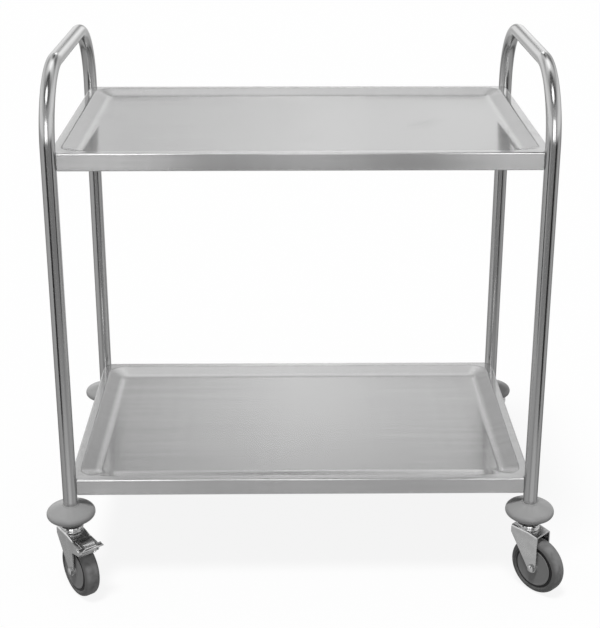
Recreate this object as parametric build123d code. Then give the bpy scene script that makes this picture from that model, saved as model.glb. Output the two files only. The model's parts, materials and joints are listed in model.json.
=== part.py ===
from build123d import *
import math
import os

# Two-tier serving trolley of stainless tube and sheet, on four swivel castors.
# X runs along the trolley, Y from its front (-Y) to its back, Z up from the floor.
# The origin is on the floor, midway between the four legs. All sizes are in millimetres.

# Overall size
LEG_SPAN_X = 805.0
LEG_SPAN_Y = 485.0

# Side frames: one bent tube at each short side
TUBE_DIAMETER = 25.0
TUBE_WALL = 1.2
HANDLE_BEND = 120.0
HANDLE_CLEAR = 7.5

# Shelves: pressed sheet with a flat rim, a sunk deck and a skirt
UPPER_RIM_HEIGHT = 800.0
LOWER_RIM_RISE = 67.0
SHEET = 1.0
SKIRT_HEIGHT = 30.0
SKIRT_RETURN = 10.0
SHELF_EDGE_RADIUS = 2.5
RIM_WIDTH = 15.0
SLOPE_WIDTH = 22.0
SLOPE_DROP = 7.5
BLEND_WIDTH = 15.0
BLEND_DROP = 2.5
MOUTH_CORNER = 28.0
DECK_CORNER = 9.0
NOTCH_GAP = 0.15

# Stiffeners under each deck: hat-section channels
HAT_WIDTH = 34.0
HAT_FLANGE = 12.0
HAT_HEIGHT = 13.0
HAT_SPACING = 210.0
HAT_END_GAP = 25.0

# Corner fixing: saddle, bolt, saddle washer and tube nut
SADDLE_SHEET = 2.0
SADDLE_HEIGHT = 19.0
SADDLE_WING = 15.0
BOLT_DIAMETER = 6.0
BOLT_HEAD_WIDTH = 10.0
BOLT_HEAD_HEIGHT = 4.0
BOLT_HOLE_GAP = 0.4
WASHER_DIAMETER = 12.5
WASHER_HEIGHT = 1.6
TUBE_NUT_DIAMETER = 9.0
TUBE_NUT_LENGTH = 9.0

# Wheels
WHEEL_DIAMETER = 100.0
TYRE_WIDTH = 28.0
TYRE_DEPTH = 12.0
TYRE_SHOULDER = 9.0
CORE_WIDTH = 24.0
CORE_RIM = 5.0
CORE_WEB = 7.0
CORE_BOSS_DIAMETER = 26.0
AXLE_DIAMETER = 8.0
SLEEVE_WALL = 1.2
AXLE_HEAD_WIDTH = 13.0
AXLE_HEAD_HEIGHT = 5.0
AXLE_NUT_HEIGHT = 6.5
GUARD_SHEET = 1.6
GUARD_EDGE_GAP = 3.2
GUARD_BOSS_DIAMETER = 20.0

# Castor forks
TRAIL = 25.0
FORK_SHEET = 2.5
FORK_GAP = 33.0
FORK_EYE = 8.5
FORK_BEND = 4.0
CROWN_CLEARANCE = 15.5
CROWN_LEAD = 23.0
CROWN_FLAT = 16.0
CROWN_SIDE = 14.0
BROW_DROP = 3.5

# Swivel bearing
KINGPIN_DIAMETER = 12.0
KINGPIN_HEAD_DIAMETER = 18.0
KINGPIN_HEAD_HEIGHT = 3.0
RACE_DIAMETER = 36.0
RACE_HEIGHT = 4.0
RACE_GAP = 2.0
HEAD_DIAMETER = 42.0
HEAD_HEIGHT = 7.0
BALL_DIAMETER = 5.0
BALL_CIRCLE = 27.0
BALL_COUNT = 10

# Castor stem and leg plug
COLLAR_WIDTH = 19.0
COLLAR_HEIGHT = 10.0
STEM_SETBACK = 6.0
PLUG_GAP = 5.5

# Bumpers
BUMPER_DIAMETER = 85.0
BUMPER_EDGE = 16.0
BUMPER_SLOPE = 20.0
BUMPER_WEB = 4.0
BUMPER_WALL = 3.0
BUMPER_RIB = 2.0
BUMPER_RIBS = 6

# Brakes
PIVOT_ANGLE = 61.0
PIVOT_STANDOFF = 10.4
ARM_EYE = 8.5
ARM_ROOT_DEPTH = 14.0
PEDAL_SHEET = 2.0
PEDAL_SIDE_GAP = 1.0
PEDAL_EYE = 6.0
PEDAL_LENGTH = 20.0
PEDAL_FLARE = 6.5
TONGUE_WIDTH = 21.0
TONGUE_RISE = 2.5
PIN_DIAMETER = 6.0
PIN_HEAD_DIAMETER = 9.0
PIN_HEAD_HEIGHT = 1.5
SHOE_GAP = 2.0
SHOE_SHEET = 2.5
SHOE_ANGLE = 8.0
LEAF_SHEET = 0.8
LEAF_WIDTH = 12.0

# Clearances
SEAT = 0.05
RUN = 0.08
CLEAR = 0.3

# Where each castor stands, the way its wheel trails in plan, and whether it has a brake
CASTORS = {
    "front_left": {"side": (-1, -1), "heading": -54.0, "brake": True},
    "front_right": {"side": (1, -1), "heading": -47.0, "brake": False},
    "back_left": {"side": (-1, 1), "heading": 118.0, "brake": False},
    "back_right": {"side": (1, 1), "heading": 65.0, "brake": True},
}

# Levels above the floor, from the wheel up to the leg
TUBE_RADIUS = TUBE_DIAMETER / 2
WHEEL_RADIUS = WHEEL_DIAMETER / 2
AXLE_LEVEL = WHEEL_RADIUS
CROWN_UNDER = WHEEL_DIAMETER + CROWN_CLEARANCE
CROWN_TOP = CROWN_UNDER + FORK_SHEET
RACE_TOP = CROWN_TOP + RACE_HEIGHT
BALL_LEVEL = RACE_TOP + RACE_GAP / 2
HEAD_UNDER = RACE_TOP + RACE_GAP
HEAD_TOP = HEAD_UNDER + HEAD_HEIGHT
BUMPER_UNDER = HEAD_TOP + COLLAR_HEIGHT
LEG_END = BUMPER_UNDER + BUMPER_WEB
LOWER_RIM_HEIGHT = LEG_END + LOWER_RIM_RISE
NOTCH_RADIUS = TUBE_RADIUS + NOTCH_GAP
DECK_DEPTH = SLOPE_DROP + BLEND_DROP
DECK_EDGE = RIM_WIDTH + SLOPE_WIDTH + BLEND_WIDTH
HANDLE_LEVEL = UPPER_RIM_HEIGHT + HANDLE_CLEAR + HANDLE_BEND
PLUG_TOP = LOWER_RIM_HEIGHT - SKIRT_HEIGHT / 2 - TUBE_NUT_DIAMETER / 2 - PLUG_GAP
STEM_TOP = PLUG_TOP - STEM_SETBACK

# Widths across a castor
FORK_INNER = FORK_GAP / 2
FORK_OUTER = FORK_INNER + FORK_SHEET
SLEEVE_RADIUS = AXLE_DIAMETER / 2 + SEAT + SLEEVE_WALL
CORE_RADIUS = WHEEL_RADIUS - TYRE_DEPTH
GUARD_RADIUS = CORE_RADIUS - GUARD_EDGE_GAP
GUARD_FACE = CORE_WIDTH / 2 + CLEAR + GUARD_SHEET

# Brake pivot, in the plane of the wheel
PIVOT_REACH = WHEEL_RADIUS + PIVOT_STANDOFF
PIVOT_X = TRAIL + PIVOT_REACH * math.cos(math.radians(PIVOT_ANGLE))
PIVOT_Z = AXLE_LEVEL + PIVOT_REACH * math.sin(math.radians(PIVOT_ANGLE))

CORNERS = [(-1, -1), (1, -1), (1, 1), (-1, 1)]
LOW = (Align.CENTER, Align.CENTER, Align.MIN)
SIDE_VIEW = Plane.XZ


def rod(plane, radius, start, end):
    """A round bar along the plane's normal, from start to end."""
    return plane.location * Pos(0, 0, start) * Cylinder(radius, end - start, align=LOW)


def hex_bar(plane, width, start, end):
    """A hexagon bar along the plane's normal, width across its flats."""
    section = RegularPolygon(width / 2, 6, major_radius=False)
    return plane.location * Pos(0, 0, start) * extrude(section, end - start)


def turned(points):
    """A solid turned about Z from a closed outline of (radius, height) points."""
    outline = make_face(Polyline(*points, close=True))
    return revolve(SIDE_VIEW * outline, Axis.Z)


def group(pieces):
    """Separate solids that share one node."""
    return Compound(children=list(pieces))


def corner_plane(side, level):
    """A plane on a leg's axis whose normal points diagonally into the trolley."""
    origin = (side[0] * LEG_SPAN_X / 2, side[1] * LEG_SPAN_Y / 2, level)
    return Plane(origin=origin, x_dir=(0, 0, 1), z_dir=(-side[0], -side[1], 0))


def bolt_levels():
    return [UPPER_RIM_HEIGHT - SKIRT_HEIGHT / 2, LOWER_RIM_HEIGHT - SKIRT_HEIGHT / 2]


def bolt_planes():
    return [corner_plane(side, level) for level in bolt_levels() for side in CORNERS]


# Side frames

def side_frame(side):
    """One tube bent into a front leg, a handle and a back leg."""
    x = side * LEG_SPAN_X / 2
    y = LEG_SPAN_Y / 2
    handle = HANDLE_LEVEL
    path = FilletPolyline(
        (x, -y, LEG_END), (x, -y, handle), (x, y, handle), (x, y, LEG_END), radius=HANDLE_BEND
    )
    start = Plane(origin=path @ 0, z_dir=path % 0)
    tube = sweep(start * Circle(TUBE_RADIUS), path=path)
    tube -= sweep(start * Circle(TUBE_RADIUS - TUBE_WALL), path=path)
    for plane in bolt_planes():
        if plane.origin.X * side > 0:
            tube -= rod(plane, TUBE_NUT_DIAMETER / 2 + SEAT, 0, TUBE_DIAMETER)
    return tube


# Shelves

def shelf_outline(inset):
    """The shelf's plan: a rectangle on the leg axes, notched round each leg."""
    plan = Rectangle(LEG_SPAN_X - 2 * inset, LEG_SPAN_Y - 2 * inset)
    for x, y in CORNERS:
        plan -= Pos(x * LEG_SPAN_X / 2, y * LEG_SPAN_Y / 2) * Circle(NOTCH_RADIUS + inset)
    return plan


def rounded_block(inset, low, height, edge):
    """The shelf's plan drawn up to a block with its long top edges rounded."""
    block = Pos(0, 0, low) * extrude(shelf_outline(inset), height)
    top = low + height
    straight = block.edges().filter_by(GeomType.LINE)
    return fillet(straight.filter_by_position(Axis.Z, top - SEAT, top + SEAT), edge)


def sunk_deck(level):
    """The space of the sunk deck: its mouth at level, a slope, a flatter blend and the deck's floor."""
    foot_corner = (MOUTH_CORNER + DECK_CORNER) / 2
    rings = []
    for inset, drop, corner in (
        (DECK_EDGE, DECK_DEPTH, DECK_CORNER),
        (RIM_WIDTH + SLOPE_WIDTH, SLOPE_DROP, foot_corner),
        (RIM_WIDTH, 0, MOUTH_CORNER),
    ):
        ring = RectangleRounded(LEG_SPAN_X - 2 * inset, LEG_SPAN_Y - 2 * inset, corner)
        rings.append(Pos(0, 0, level - drop) * ring)
    return loft(rings, ruled=True)


def shelf(rim):
    """A pressed shelf whose rim is at the given height."""
    low = rim - SKIRT_HEIGHT
    sheet = rounded_block(0, low, SKIRT_HEIGHT, SHELF_EDGE_RADIUS)
    sheet -= rounded_block(SHEET, low, SKIRT_HEIGHT - SHEET, SHELF_EDGE_RADIUS - SHEET)
    sheet += sunk_deck(rim - SHEET)
    sheet -= sunk_deck(rim)
    lip = shelf_outline(SHEET) - shelf_outline(SHEET + SKIRT_RETURN)
    sheet += Pos(0, 0, low) * extrude(lip, SHEET)
    for side in CORNERS:
        plane = corner_plane(side, rim - SKIRT_HEIGHT / 2)
        sheet -= rod(plane, BOLT_DIAMETER / 2 + BOLT_HOLE_GAP, 0, SADDLE_WING + TUBE_DIAMETER)
    return sheet


def stiffeners(rim):
    """Two hat-section channels under the deck, open side up."""
    top = rim - DECK_DEPTH - SHEET
    length = LEG_SPAN_X - 2 * (DECK_EDGE + HAT_END_GAP)
    hung = (Align.CENTER, Align.MAX)
    section = Rectangle(HAT_WIDTH + 2 * HAT_FLANGE, SHEET, align=hung)
    section += Rectangle(HAT_WIDTH, HAT_HEIGHT, align=hung)
    section -= Rectangle(HAT_WIDTH - 2 * SHEET, HAT_HEIGHT - SHEET, align=hung)
    channel = extrude(Plane.YZ * section, length / 2, both=True)
    return group(Pos(0, y, top) * channel for y in (-HAT_SPACING / 2, HAT_SPACING / 2))


# Corner fixings

SADDLE_INNER = NOTCH_RADIUS + SHEET + SEAT
SADDLE_OUTER = SADDLE_INNER + SADDLE_SHEET
WASHER_FACE = SADDLE_OUTER + WASHER_HEIGHT


def saddle():
    """A curved plate behind a notch, with a wing along each skirt."""
    wall = SHEET + SEAT
    near = (Align.MIN, Align.MIN)
    curve = Circle(SADDLE_OUTER) - Circle(SADDLE_INNER)
    curve &= Pos(wall, wall) * Rectangle(SADDLE_OUTER, SADDLE_OUTER, align=near)
    start = math.sqrt(SADDLE_INNER ** 2 - (wall + SADDLE_SHEET) ** 2)
    end = SADDLE_OUTER + SADDLE_WING
    wing = Pos(start, wall) * Rectangle(end - start, SADDLE_SHEET, align=near)
    wing -= Circle(SADDLE_INNER)
    section = curve + wing + mirror(wing, Plane(origin=(0, 0, 0), z_dir=(1, -1, 0)))
    plate = extrude(section, SADDLE_HEIGHT / 2, both=True)
    diagonal = Plane(origin=(0, 0, 0), z_dir=(1, 1, 0))
    return plate - rod(diagonal, BOLT_DIAMETER / 2 + BOLT_HOLE_GAP, 0, 2 * end)


def saddles(rim):
    """The four saddles of one shelf."""
    plate = saddle()
    placed = []
    for turn, (x, y) in enumerate(CORNERS):
        spot = Location((x * LEG_SPAN_X / 2, y * LEG_SPAN_Y / 2, rim - SKIRT_HEIGHT / 2), (0, 0, 90 * turn))
        placed.append(spot * plate)
    return group(placed)


def shelf_bolt(plane):
    """A hex bolt from inside the skirt into the leg."""
    start = TUBE_RADIUS - TUBE_NUT_LENGTH
    return hex_bar(plane, BOLT_HEAD_WIDTH, WASHER_FACE, WASHER_FACE + BOLT_HEAD_HEIGHT) + rod(
        plane, BOLT_DIAMETER / 2, start, WASHER_FACE
    )


def saddle_washer(plane):
    """A washer hollowed to sit on the round of the saddle."""
    body = rod(plane, WASHER_DIAMETER / 2, SADDLE_INNER, WASHER_FACE)
    leg = Plane(origin=plane.origin, z_dir=(0, 0, 1))
    body -= rod(leg, SADDLE_OUTER + SEAT, -WASHER_DIAMETER, WASHER_DIAMETER)
    return body - rod(plane, BOLT_DIAMETER / 2 + BOLT_HOLE_GAP, 0, WASHER_FACE)


def tube_nut(plane):
    """A threaded nut set in the leg's wall, flush with the outside of the tube."""
    start = TUBE_RADIUS - TUBE_NUT_LENGTH
    body = rod(plane, TUBE_NUT_DIAMETER / 2, start, TUBE_RADIUS)
    leg = Plane(origin=plane.origin, z_dir=(0, 0, 1))
    body &= rod(leg, TUBE_RADIUS, -TUBE_NUT_DIAMETER, TUBE_NUT_DIAMETER)
    return body - rod(plane, BOLT_DIAMETER / 2 + SEAT, 0, TUBE_DIAMETER)


# Bumper, plug, stem and head: the fixed parts on a leg's axis

def bumper():
    """A round moulded bumper, hollow and ribbed below, with a bore for the leg."""
    edge = BUMPER_EDGE / 2
    ring = BUMPER_DIAMETER / 2 - edge
    bore = TUBE_RADIUS + SEAT
    lip = BUMPER_WALL / 2
    collar = bore + lip
    lean = math.radians(BUMPER_SLOPE)
    rim_top = BUMPER_UNDER + BUMPER_EDGE
    nose_start = (ring + edge * math.sin(lean), BUMPER_UNDER + edge + edge * math.cos(lean))
    top = nose_start[1] + (nose_start[0] - collar) * math.tan(lean)
    stem_hole = KINGPIN_DIAMETER / 2 + CLEAR
    outline = Polyline(
        (ring, BUMPER_UNDER), (stem_hole, BUMPER_UNDER), (stem_hole, LEG_END), (bore, LEG_END),
        (bore, top + lip), (collar, top), nose_start,
    )
    nose = ThreePointArc(nose_start, (ring + edge, BUMPER_UNDER + edge), (ring, BUMPER_UNDER))
    body = revolve(SIDE_VIEW * make_face(Curve() + [outline, nose]), Axis.Z)
    hub = bore + BUMPER_WALL
    ceiling = rim_top - BUMPER_WALL
    cavity = turned(
        [(hub, BUMPER_UNDER - 1), (ring, BUMPER_UNDER - 1), (ring, BUMPER_UNDER + edge),
         (ring - edge, ceiling), (hub, ceiling)]
    )
    rib = Pos((hub + ring) / 2, 0, BUMPER_UNDER) * Box(ring, BUMPER_RIB, BUMPER_EDGE, align=LOW)
    for turn in range(BUMPER_RIBS):
        cavity -= Rot(0, 0, 360 * turn / BUMPER_RIBS) * rib
    return body - cavity


def leg_plug():
    """A threaded plug pressed into the leg's end."""
    plug = rod(Plane.XY, TUBE_RADIUS - TUBE_WALL - SEAT, LEG_END, PLUG_TOP)
    return plug - rod(Plane.XY, KINGPIN_DIAMETER / 2 + SEAT, LEG_END, PLUG_TOP)


def castor_stem():
    """The castor's fixed stem: riveted head, kingpin, hex collar and threaded shank."""
    axis = Plane.XY
    head_top = CROWN_UNDER - CLEAR
    stem = rod(axis, KINGPIN_HEAD_DIAMETER / 2, head_top - KINGPIN_HEAD_HEIGHT, head_top)
    stem += rod(axis, KINGPIN_DIAMETER / 2, head_top, STEM_TOP)
    return stem + hex_bar(axis, COLLAR_WIDTH, HEAD_TOP, BUMPER_UNDER)


def ball_groove():
    return Pos(0, 0, BALL_LEVEL) * Torus(BALL_CIRCLE / 2, BALL_DIAMETER / 2 + SEAT)


def castor_head():
    """The fixed upper race, dished over the balls."""
    bore = KINGPIN_DIAMETER / 2 + SEAT
    rim = HEAD_DIAMETER / 2
    neck = COLLAR_WIDTH / 2 + SEAT
    lip = (rim - RACE_DIAMETER / 2) / 2
    body = turned(
        [(bore, HEAD_UNDER), (rim - lip, HEAD_UNDER), (rim - lip / 2, HEAD_UNDER - lip), (rim, HEAD_UNDER),
         (rim - lip, HEAD_UNDER + HEAD_HEIGHT / 2), (neck + lip, HEAD_TOP), (bore, HEAD_TOP)]
    )
    return body - ball_groove()


def bearing_balls():
    """A ring of loose balls between the two races."""
    ball = Sphere(BALL_DIAMETER / 2)
    ring = PolarLocations(BALL_CIRCLE / 2, BALL_COUNT)
    return group(Pos(0, 0, BALL_LEVEL) * spot * ball for spot in ring)


# Fork

def plate_profile():
    """One fork plate seen from the side: crown, sloping brow, straight trailing edge and axle eye."""
    eye = Pos(TRAIL, AXLE_LEVEL) * Circle(FORK_EYE)
    crown = Polyline(
        (-CROWN_LEAD, CROWN_TOP - CROWN_SIDE), (-CROWN_LEAD, CROWN_TOP), (CROWN_FLAT, CROWN_TOP),
        (TRAIL + FORK_EYE, CROWN_TOP - BROW_DROP),
    )
    return make_hull(eye.edges() + crown.edges())


def arm_profile():
    """The arm that carries the brake pedal's pin."""
    eye = Pos(PIVOT_X, PIVOT_Z) * Circle(ARM_EYE)
    root_top = CROWN_TOP - BROW_DROP
    root = Line((TRAIL, PIVOT_Z - ARM_ROOT_DEPTH), (TRAIL, root_top - FORK_SHEET))
    return make_hull(eye.edges() + root.edges())


def fork_hollow():
    """The space between the fork plates, under the crown and its brow."""
    tail = TRAIL + FORK_EYE
    brow = CROWN_UNDER - BROW_DROP
    far = PIVOT_X + PIVOT_REACH
    near = CROWN_LEAD + FORK_GAP
    outline = Polyline(
        (-near, CROWN_UNDER), (CROWN_FLAT, CROWN_UNDER), (tail, brow), (tail, CROWN_TOP + FORK_GAP),
        (far, CROWN_TOP + FORK_GAP), (far, -FORK_GAP), (-near, -FORK_GAP), close=True,
    )
    return extrude(SIDE_VIEW * make_face(outline), FORK_INNER, both=True)


def fork(brake):
    """A fork pressed from one sheet, with the lower race on its crown."""
    block = extrude(SIDE_VIEW * plate_profile(), FORK_OUTER, both=True)
    long_edges = block.edges().filter_by(GeomType.LINE).filter_by_position(
        Axis.Z, CROWN_TOP - BROW_DROP - SEAT, CROWN_TOP + SEAT
    )
    bends = [e for e in long_edges if abs(e.tangent_at(0.5).Y) < SEAT and abs(e.tangent_at(0.5).X) > SEAT]
    block = fillet(bends, FORK_BEND)
    if brake:
        block += extrude(SIDE_VIEW * arm_profile(), FORK_OUTER, both=True)
    body = block - fork_hollow()
    body += rod(Plane.XY, RACE_DIAMETER / 2, CROWN_UNDER, RACE_TOP)
    body -= ball_groove()
    body -= rod(Plane.XY, KINGPIN_DIAMETER / 2 + RUN, 0, RACE_TOP + FORK_GAP)
    body -= rod(across(TRAIL, AXLE_LEVEL), AXLE_DIAMETER / 2 + SEAT, -FORK_GAP, FORK_GAP)
    if brake:
        body -= rod(across(PIVOT_X, PIVOT_Z), PIN_DIAMETER / 2 + SEAT, -FORK_GAP, FORK_GAP)
    return body


def across(x, z):
    """A plane in the wheel's middle whose normal runs across the castor, along +Y."""
    return Plane(origin=(x, 0, z), x_dir=(1, 0, 0), z_dir=(0, 1, 0))


# Axle, sleeve, guards and wheel

AXLE = across(TRAIL, AXLE_LEVEL)


def wheel_turned(points):
    """A solid turned about the axle from a closed outline of (radius, offset across) points."""
    outline = make_face(Polyline(*points, close=True))
    return AXLE.location * revolve(SIDE_VIEW * outline, Axis.Z)


def axle_bolt():
    """A hex bolt across the fork, its head on the -Y plate."""
    head = hex_bar(AXLE, AXLE_HEAD_WIDTH, -FORK_OUTER - AXLE_HEAD_HEIGHT, -FORK_OUTER)
    end = FORK_OUTER + AXLE_NUT_HEIGHT + FORK_SHEET / 2
    return head + rod(AXLE, AXLE_DIAMETER / 2, -FORK_OUTER, end)


def axle_nut():
    nut = hex_bar(AXLE, AXLE_HEAD_WIDTH, FORK_OUTER, FORK_OUTER + AXLE_NUT_HEIGHT)
    return nut - rod(AXLE, AXLE_DIAMETER / 2 + SEAT, FORK_OUTER, FORK_OUTER + AXLE_NUT_HEIGHT)


def axle_sleeve():
    """The sleeve that the wheel turns on, held between the fork plates."""
    sleeve = rod(AXLE, SLEEVE_RADIUS, -FORK_INNER, FORK_INNER)
    return sleeve - rod(AXLE, AXLE_DIAMETER / 2 + SEAT, -FORK_INNER, FORK_INNER)


def thread_guards():
    """Two dished discs that keep threads off the hub, one at each side of the wheel."""
    bore = SLEEVE_RADIUS + SEAT
    boss = GUARD_BOSS_DIAMETER / 2
    inner = GUARD_FACE - GUARD_SHEET
    disc = wheel_turned(
        [(bore, inner), (GUARD_RADIUS - GUARD_SHEET, inner), (GUARD_RADIUS, inner + GUARD_SHEET / 4),
         (GUARD_RADIUS, GUARD_FACE - GUARD_SHEET / 4), (GUARD_RADIUS - GUARD_SHEET, GUARD_FACE),
         (boss, GUARD_FACE), (boss - GUARD_SHEET / 2, FORK_INNER), (bore, FORK_INNER)]
    )
    return group([disc, mirror(disc, Plane.XZ)])


def wheel_core():
    """The wheel's moulded core: boss, web and rim."""
    bore = SLEEVE_RADIUS + RUN
    half = CORE_WIDTH / 2
    boss = CORE_BOSS_DIAMETER / 2
    inner = CORE_RADIUS - CORE_RIM
    draft = CORE_RIM / 4
    web = CORE_WEB / 2
    side = [
        (bore, half), (boss, half), (boss + draft, web), (inner - draft, web), (inner, half), (CORE_RADIUS, half),
    ]
    return wheel_turned(side + [(r, -y) for r, y in reversed(side)])


def tyre():
    """A rubber tyre with round shoulders, seated on the core."""
    seat = CORE_RADIUS + SEAT
    half = TYRE_WIDTH / 2
    foot = CORE_WIDTH / 2
    tread = half - TYRE_SHOULDER
    shoulder = WHEEL_RADIUS - TYRE_SHOULDER
    lean = TYRE_SHOULDER * math.sqrt(0.5)
    outline = Curve() + [
        Polyline((shoulder, -half), (seat, -foot), (seat, foot), (shoulder, half)),
        ThreePointArc((shoulder, half), (shoulder + lean, tread + lean), (WHEEL_RADIUS, tread)),
        Line((WHEEL_RADIUS, tread), (WHEEL_RADIUS, -tread)),
        ThreePointArc((WHEEL_RADIUS, -tread), (shoulder + lean, -tread - lean), (shoulder, -half)),
    ]
    return AXLE.location * revolve(SIDE_VIEW * make_face(outline), Axis.Z)


# Brake

PIN_AXIS = across(PIVOT_X, PIVOT_Z)
PEDAL_HALF = FORK_INNER - PEDAL_SIDE_GAP


def brake_shoe():
    """The pedal's curved shoe, close to the tread and a little past the pivot."""
    inner = WHEEL_RADIUS + SHOE_GAP
    centre = Pos(TRAIL, AXLE_LEVEL)
    band = centre * (Circle(inner + SHOE_SHEET) - Circle(inner))
    reach = 2 * PIVOT_REACH
    first = math.radians(PIVOT_ANGLE - SHOE_ANGLE)
    last = math.radians(PIVOT_ANGLE)
    wedge = make_face(Polyline(
        (0, 0), (reach * math.cos(first), reach * math.sin(first)),
        (reach * math.cos(last), reach * math.sin(last)), close=True,
    ))
    return band & (centre * wedge)


def brake_pedal():
    """A pressed pedal: foot plate with a raised tongue and a wide tip, two cheeks, a barrel and a shoe."""
    pivot = Pos(PIVOT_X, PIVOT_Z)
    height = ARM_EYE + PEDAL_SHEET
    dip = height - PEDAL_SHEET
    back = -0.7 * PEDAL_LENGTH
    ramp = 0.2 * PEDAL_LENGTH
    valley = 0.7 * PEDAL_LENGTH
    foot = make_face(Polyline(
        (back, height), (ramp, height), (valley, dip - PEDAL_SHEET / 2), (PEDAL_LENGTH, dip),
        (PEDAL_LENGTH, dip + PEDAL_SHEET), (valley, dip + PEDAL_SHEET / 2), (ramp, height + PEDAL_SHEET),
        (back, height + PEDAL_SHEET), close=True,
    ))
    flare = (pivot * foot) & (Pos(PIVOT_X + ARM_EYE + CLEAR, 0) * Rectangle(
        2 * PEDAL_LENGTH, 2 * UPPER_RIM_HEIGHT, align=(Align.MIN, Align.CENTER)
    ))
    tread = height + PEDAL_SHEET
    tongue = make_face(Polyline(
        (back, tread), (back + TONGUE_RISE / 2, tread + TONGUE_RISE), (ramp, tread + TONGUE_RISE),
        (valley, dip + PEDAL_SHEET / 2 + TONGUE_RISE / 2), (valley + TONGUE_RISE / 2, dip), (ramp, height),
        (back, height), close=True,
    ))
    shoe = brake_shoe()
    eye = pivot * Circle(PEDAL_EYE)
    under_foot = Line((PIVOT_X + back / 2, PIVOT_Z + height), (PIVOT_X + ramp, PIVOT_Z + height))
    cheek = make_hull(eye.edges() + under_foot.edges()) + make_hull(eye.edges() + shoe.edges())
    cheek -= Pos(TRAIL, AXLE_LEVEL) * Circle(WHEEL_RADIUS + SHOE_GAP)
    cheeks = extrude(SIDE_VIEW * cheek, PEDAL_HALF, both=True)
    cheeks -= Pos(PIVOT_X, 0, PIVOT_Z) * Box(
        2 * PIVOT_REACH, 2 * (PEDAL_HALF - PEDAL_SHEET), 2 * PIVOT_REACH
    )
    pedal = extrude(SIDE_VIEW * (pivot * foot), PEDAL_HALF, both=True)
    pedal += extrude(SIDE_VIEW * flare, PEDAL_HALF + PEDAL_FLARE, both=True)
    pedal += extrude(SIDE_VIEW * (pivot * tongue), TONGUE_WIDTH / 2, both=True)
    pedal += cheeks
    pedal += extrude(SIDE_VIEW * shoe, PEDAL_HALF, both=True)
    pedal += rod(PIN_AXIS, PEDAL_EYE, -PEDAL_HALF, PEDAL_HALF)
    return pedal - rod(PIN_AXIS, PIN_DIAMETER / 2 + RUN, -FORK_GAP, FORK_GAP)


def pedal_pin():
    """A riveted pin through both arms."""
    pin = rod(PIN_AXIS, PIN_DIAMETER / 2, -FORK_OUTER, FORK_OUTER)
    for end in (-FORK_OUTER - PIN_HEAD_HEIGHT, FORK_OUTER):
        pin += rod(PIN_AXIS, PIN_HEAD_DIAMETER / 2, end, end + PIN_HEAD_HEIGHT)
    return pin


def brake_leaf():
    """A leaf spring under the brow that bears on the pedal's barrel."""
    tail = TRAIL + FORK_EYE
    slope = BROW_DROP / (tail - CROWN_FLAT)
    root = (CROWN_FLAT + tail) / 2
    top = CROWN_UNDER - SEAT
    brow = top - BROW_DROP
    bearing = PIVOT_Z + PEDAL_EYE + CLEAR + LEAF_SHEET
    strip = make_face(Polyline(
        (root, top - slope * (root - CROWN_FLAT)), (tail, brow), (PIVOT_X, bearing),
        (PIVOT_X, bearing - LEAF_SHEET), (tail, brow - LEAF_SHEET),
        (root, top - slope * (root - CROWN_FLAT) - LEAF_SHEET), close=True,
    ))
    return extrude(SIDE_VIEW * strip, LEAF_WIDTH / 2, both=True)


# Assembly: every node's name with its solids

def castor_spot(name):
    """Where a castor stands, turned to the way its wheel trails."""
    x, y = CASTORS[name]["side"]
    return Location((x * LEG_SPAN_X / 2, y * LEG_SPAN_Y / 2, 0), (0, 0, CASTORS[name]["heading"]))


def frame_nodes():
    nodes = {
        "left_side_frame": side_frame(-1),
        "right_side_frame": side_frame(1),
        "shelf_bolts": group(shelf_bolt(plane) for plane in bolt_planes()),
        "shelf_washers": group(saddle_washer(plane) for plane in bolt_planes()),
        "tube_nuts": group(tube_nut(plane) for plane in bolt_planes()),
    }
    for tier, rim in (("upper", UPPER_RIM_HEIGHT), ("lower", LOWER_RIM_HEIGHT)):
        nodes[f"{tier}_shelf"] = shelf(rim)
        nodes[f"{tier}_stiffeners"] = stiffeners(rim)
        nodes[f"{tier}_saddles"] = saddles(rim)
    plug = leg_plug()
    stem = castor_stem()
    buffer = bumper()
    head = castor_head()
    nodes["leg_plugs"] = group(castor_spot(name) * plug for name in CASTORS)
    nodes["castor_stems"] = group(castor_spot(name) * stem for name in CASTORS)
    for name in CASTORS:
        nodes[f"bumper_{name}"] = castor_spot(name) * buffer
        nodes[f"castor_head_{name}"] = castor_spot(name) * head
    return nodes


def castor_nodes():
    forks = {True: fork(True), False: fork(False)}
    shared = {
        "bearing_balls": bearing_balls(),
        "axle_bolt": axle_bolt(),
        "axle_nut": axle_nut(),
        "axle_sleeve": axle_sleeve(),
        "thread_guards": thread_guards(),
        "wheel_core": wheel_core(),
        "tyre": tyre(),
    }
    brake = {"brake_pedal": brake_pedal(), "pedal_pin": pedal_pin(), "brake_leaf": brake_leaf()}
    nodes = {}
    for name, castor in CASTORS.items():
        pieces = dict(shared, fork=forks[castor["brake"]])
        if castor["brake"]:
            pieces.update(brake)
        for piece, solid in pieces.items():
            nodes[f"{piece}_{name}"] = castor_spot(name) * solid
    return nodes


os.makedirs("parts", exist_ok=True)
for node, solid in {**frame_nodes(), **castor_nodes()}.items():
    export_step(solid, os.path.join("parts", f"{node}.step"))
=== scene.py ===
# %% [markdown]
# # A serving trolley with two shelves
# The trolley is an assembly of bent tube, pressed sheet, moulded bumpers and swivel castors. The packed
# solids already hold every size and place, so this lesson only dresses them: each visible piece is made
# again with soft edges and a real finish, and rides on the body that it belongs to. All lengths are in
# metres.

# %% Load the solids
import json
import math

import bmesh
import bpy
from mathutils import Matrix, Vector


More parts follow.
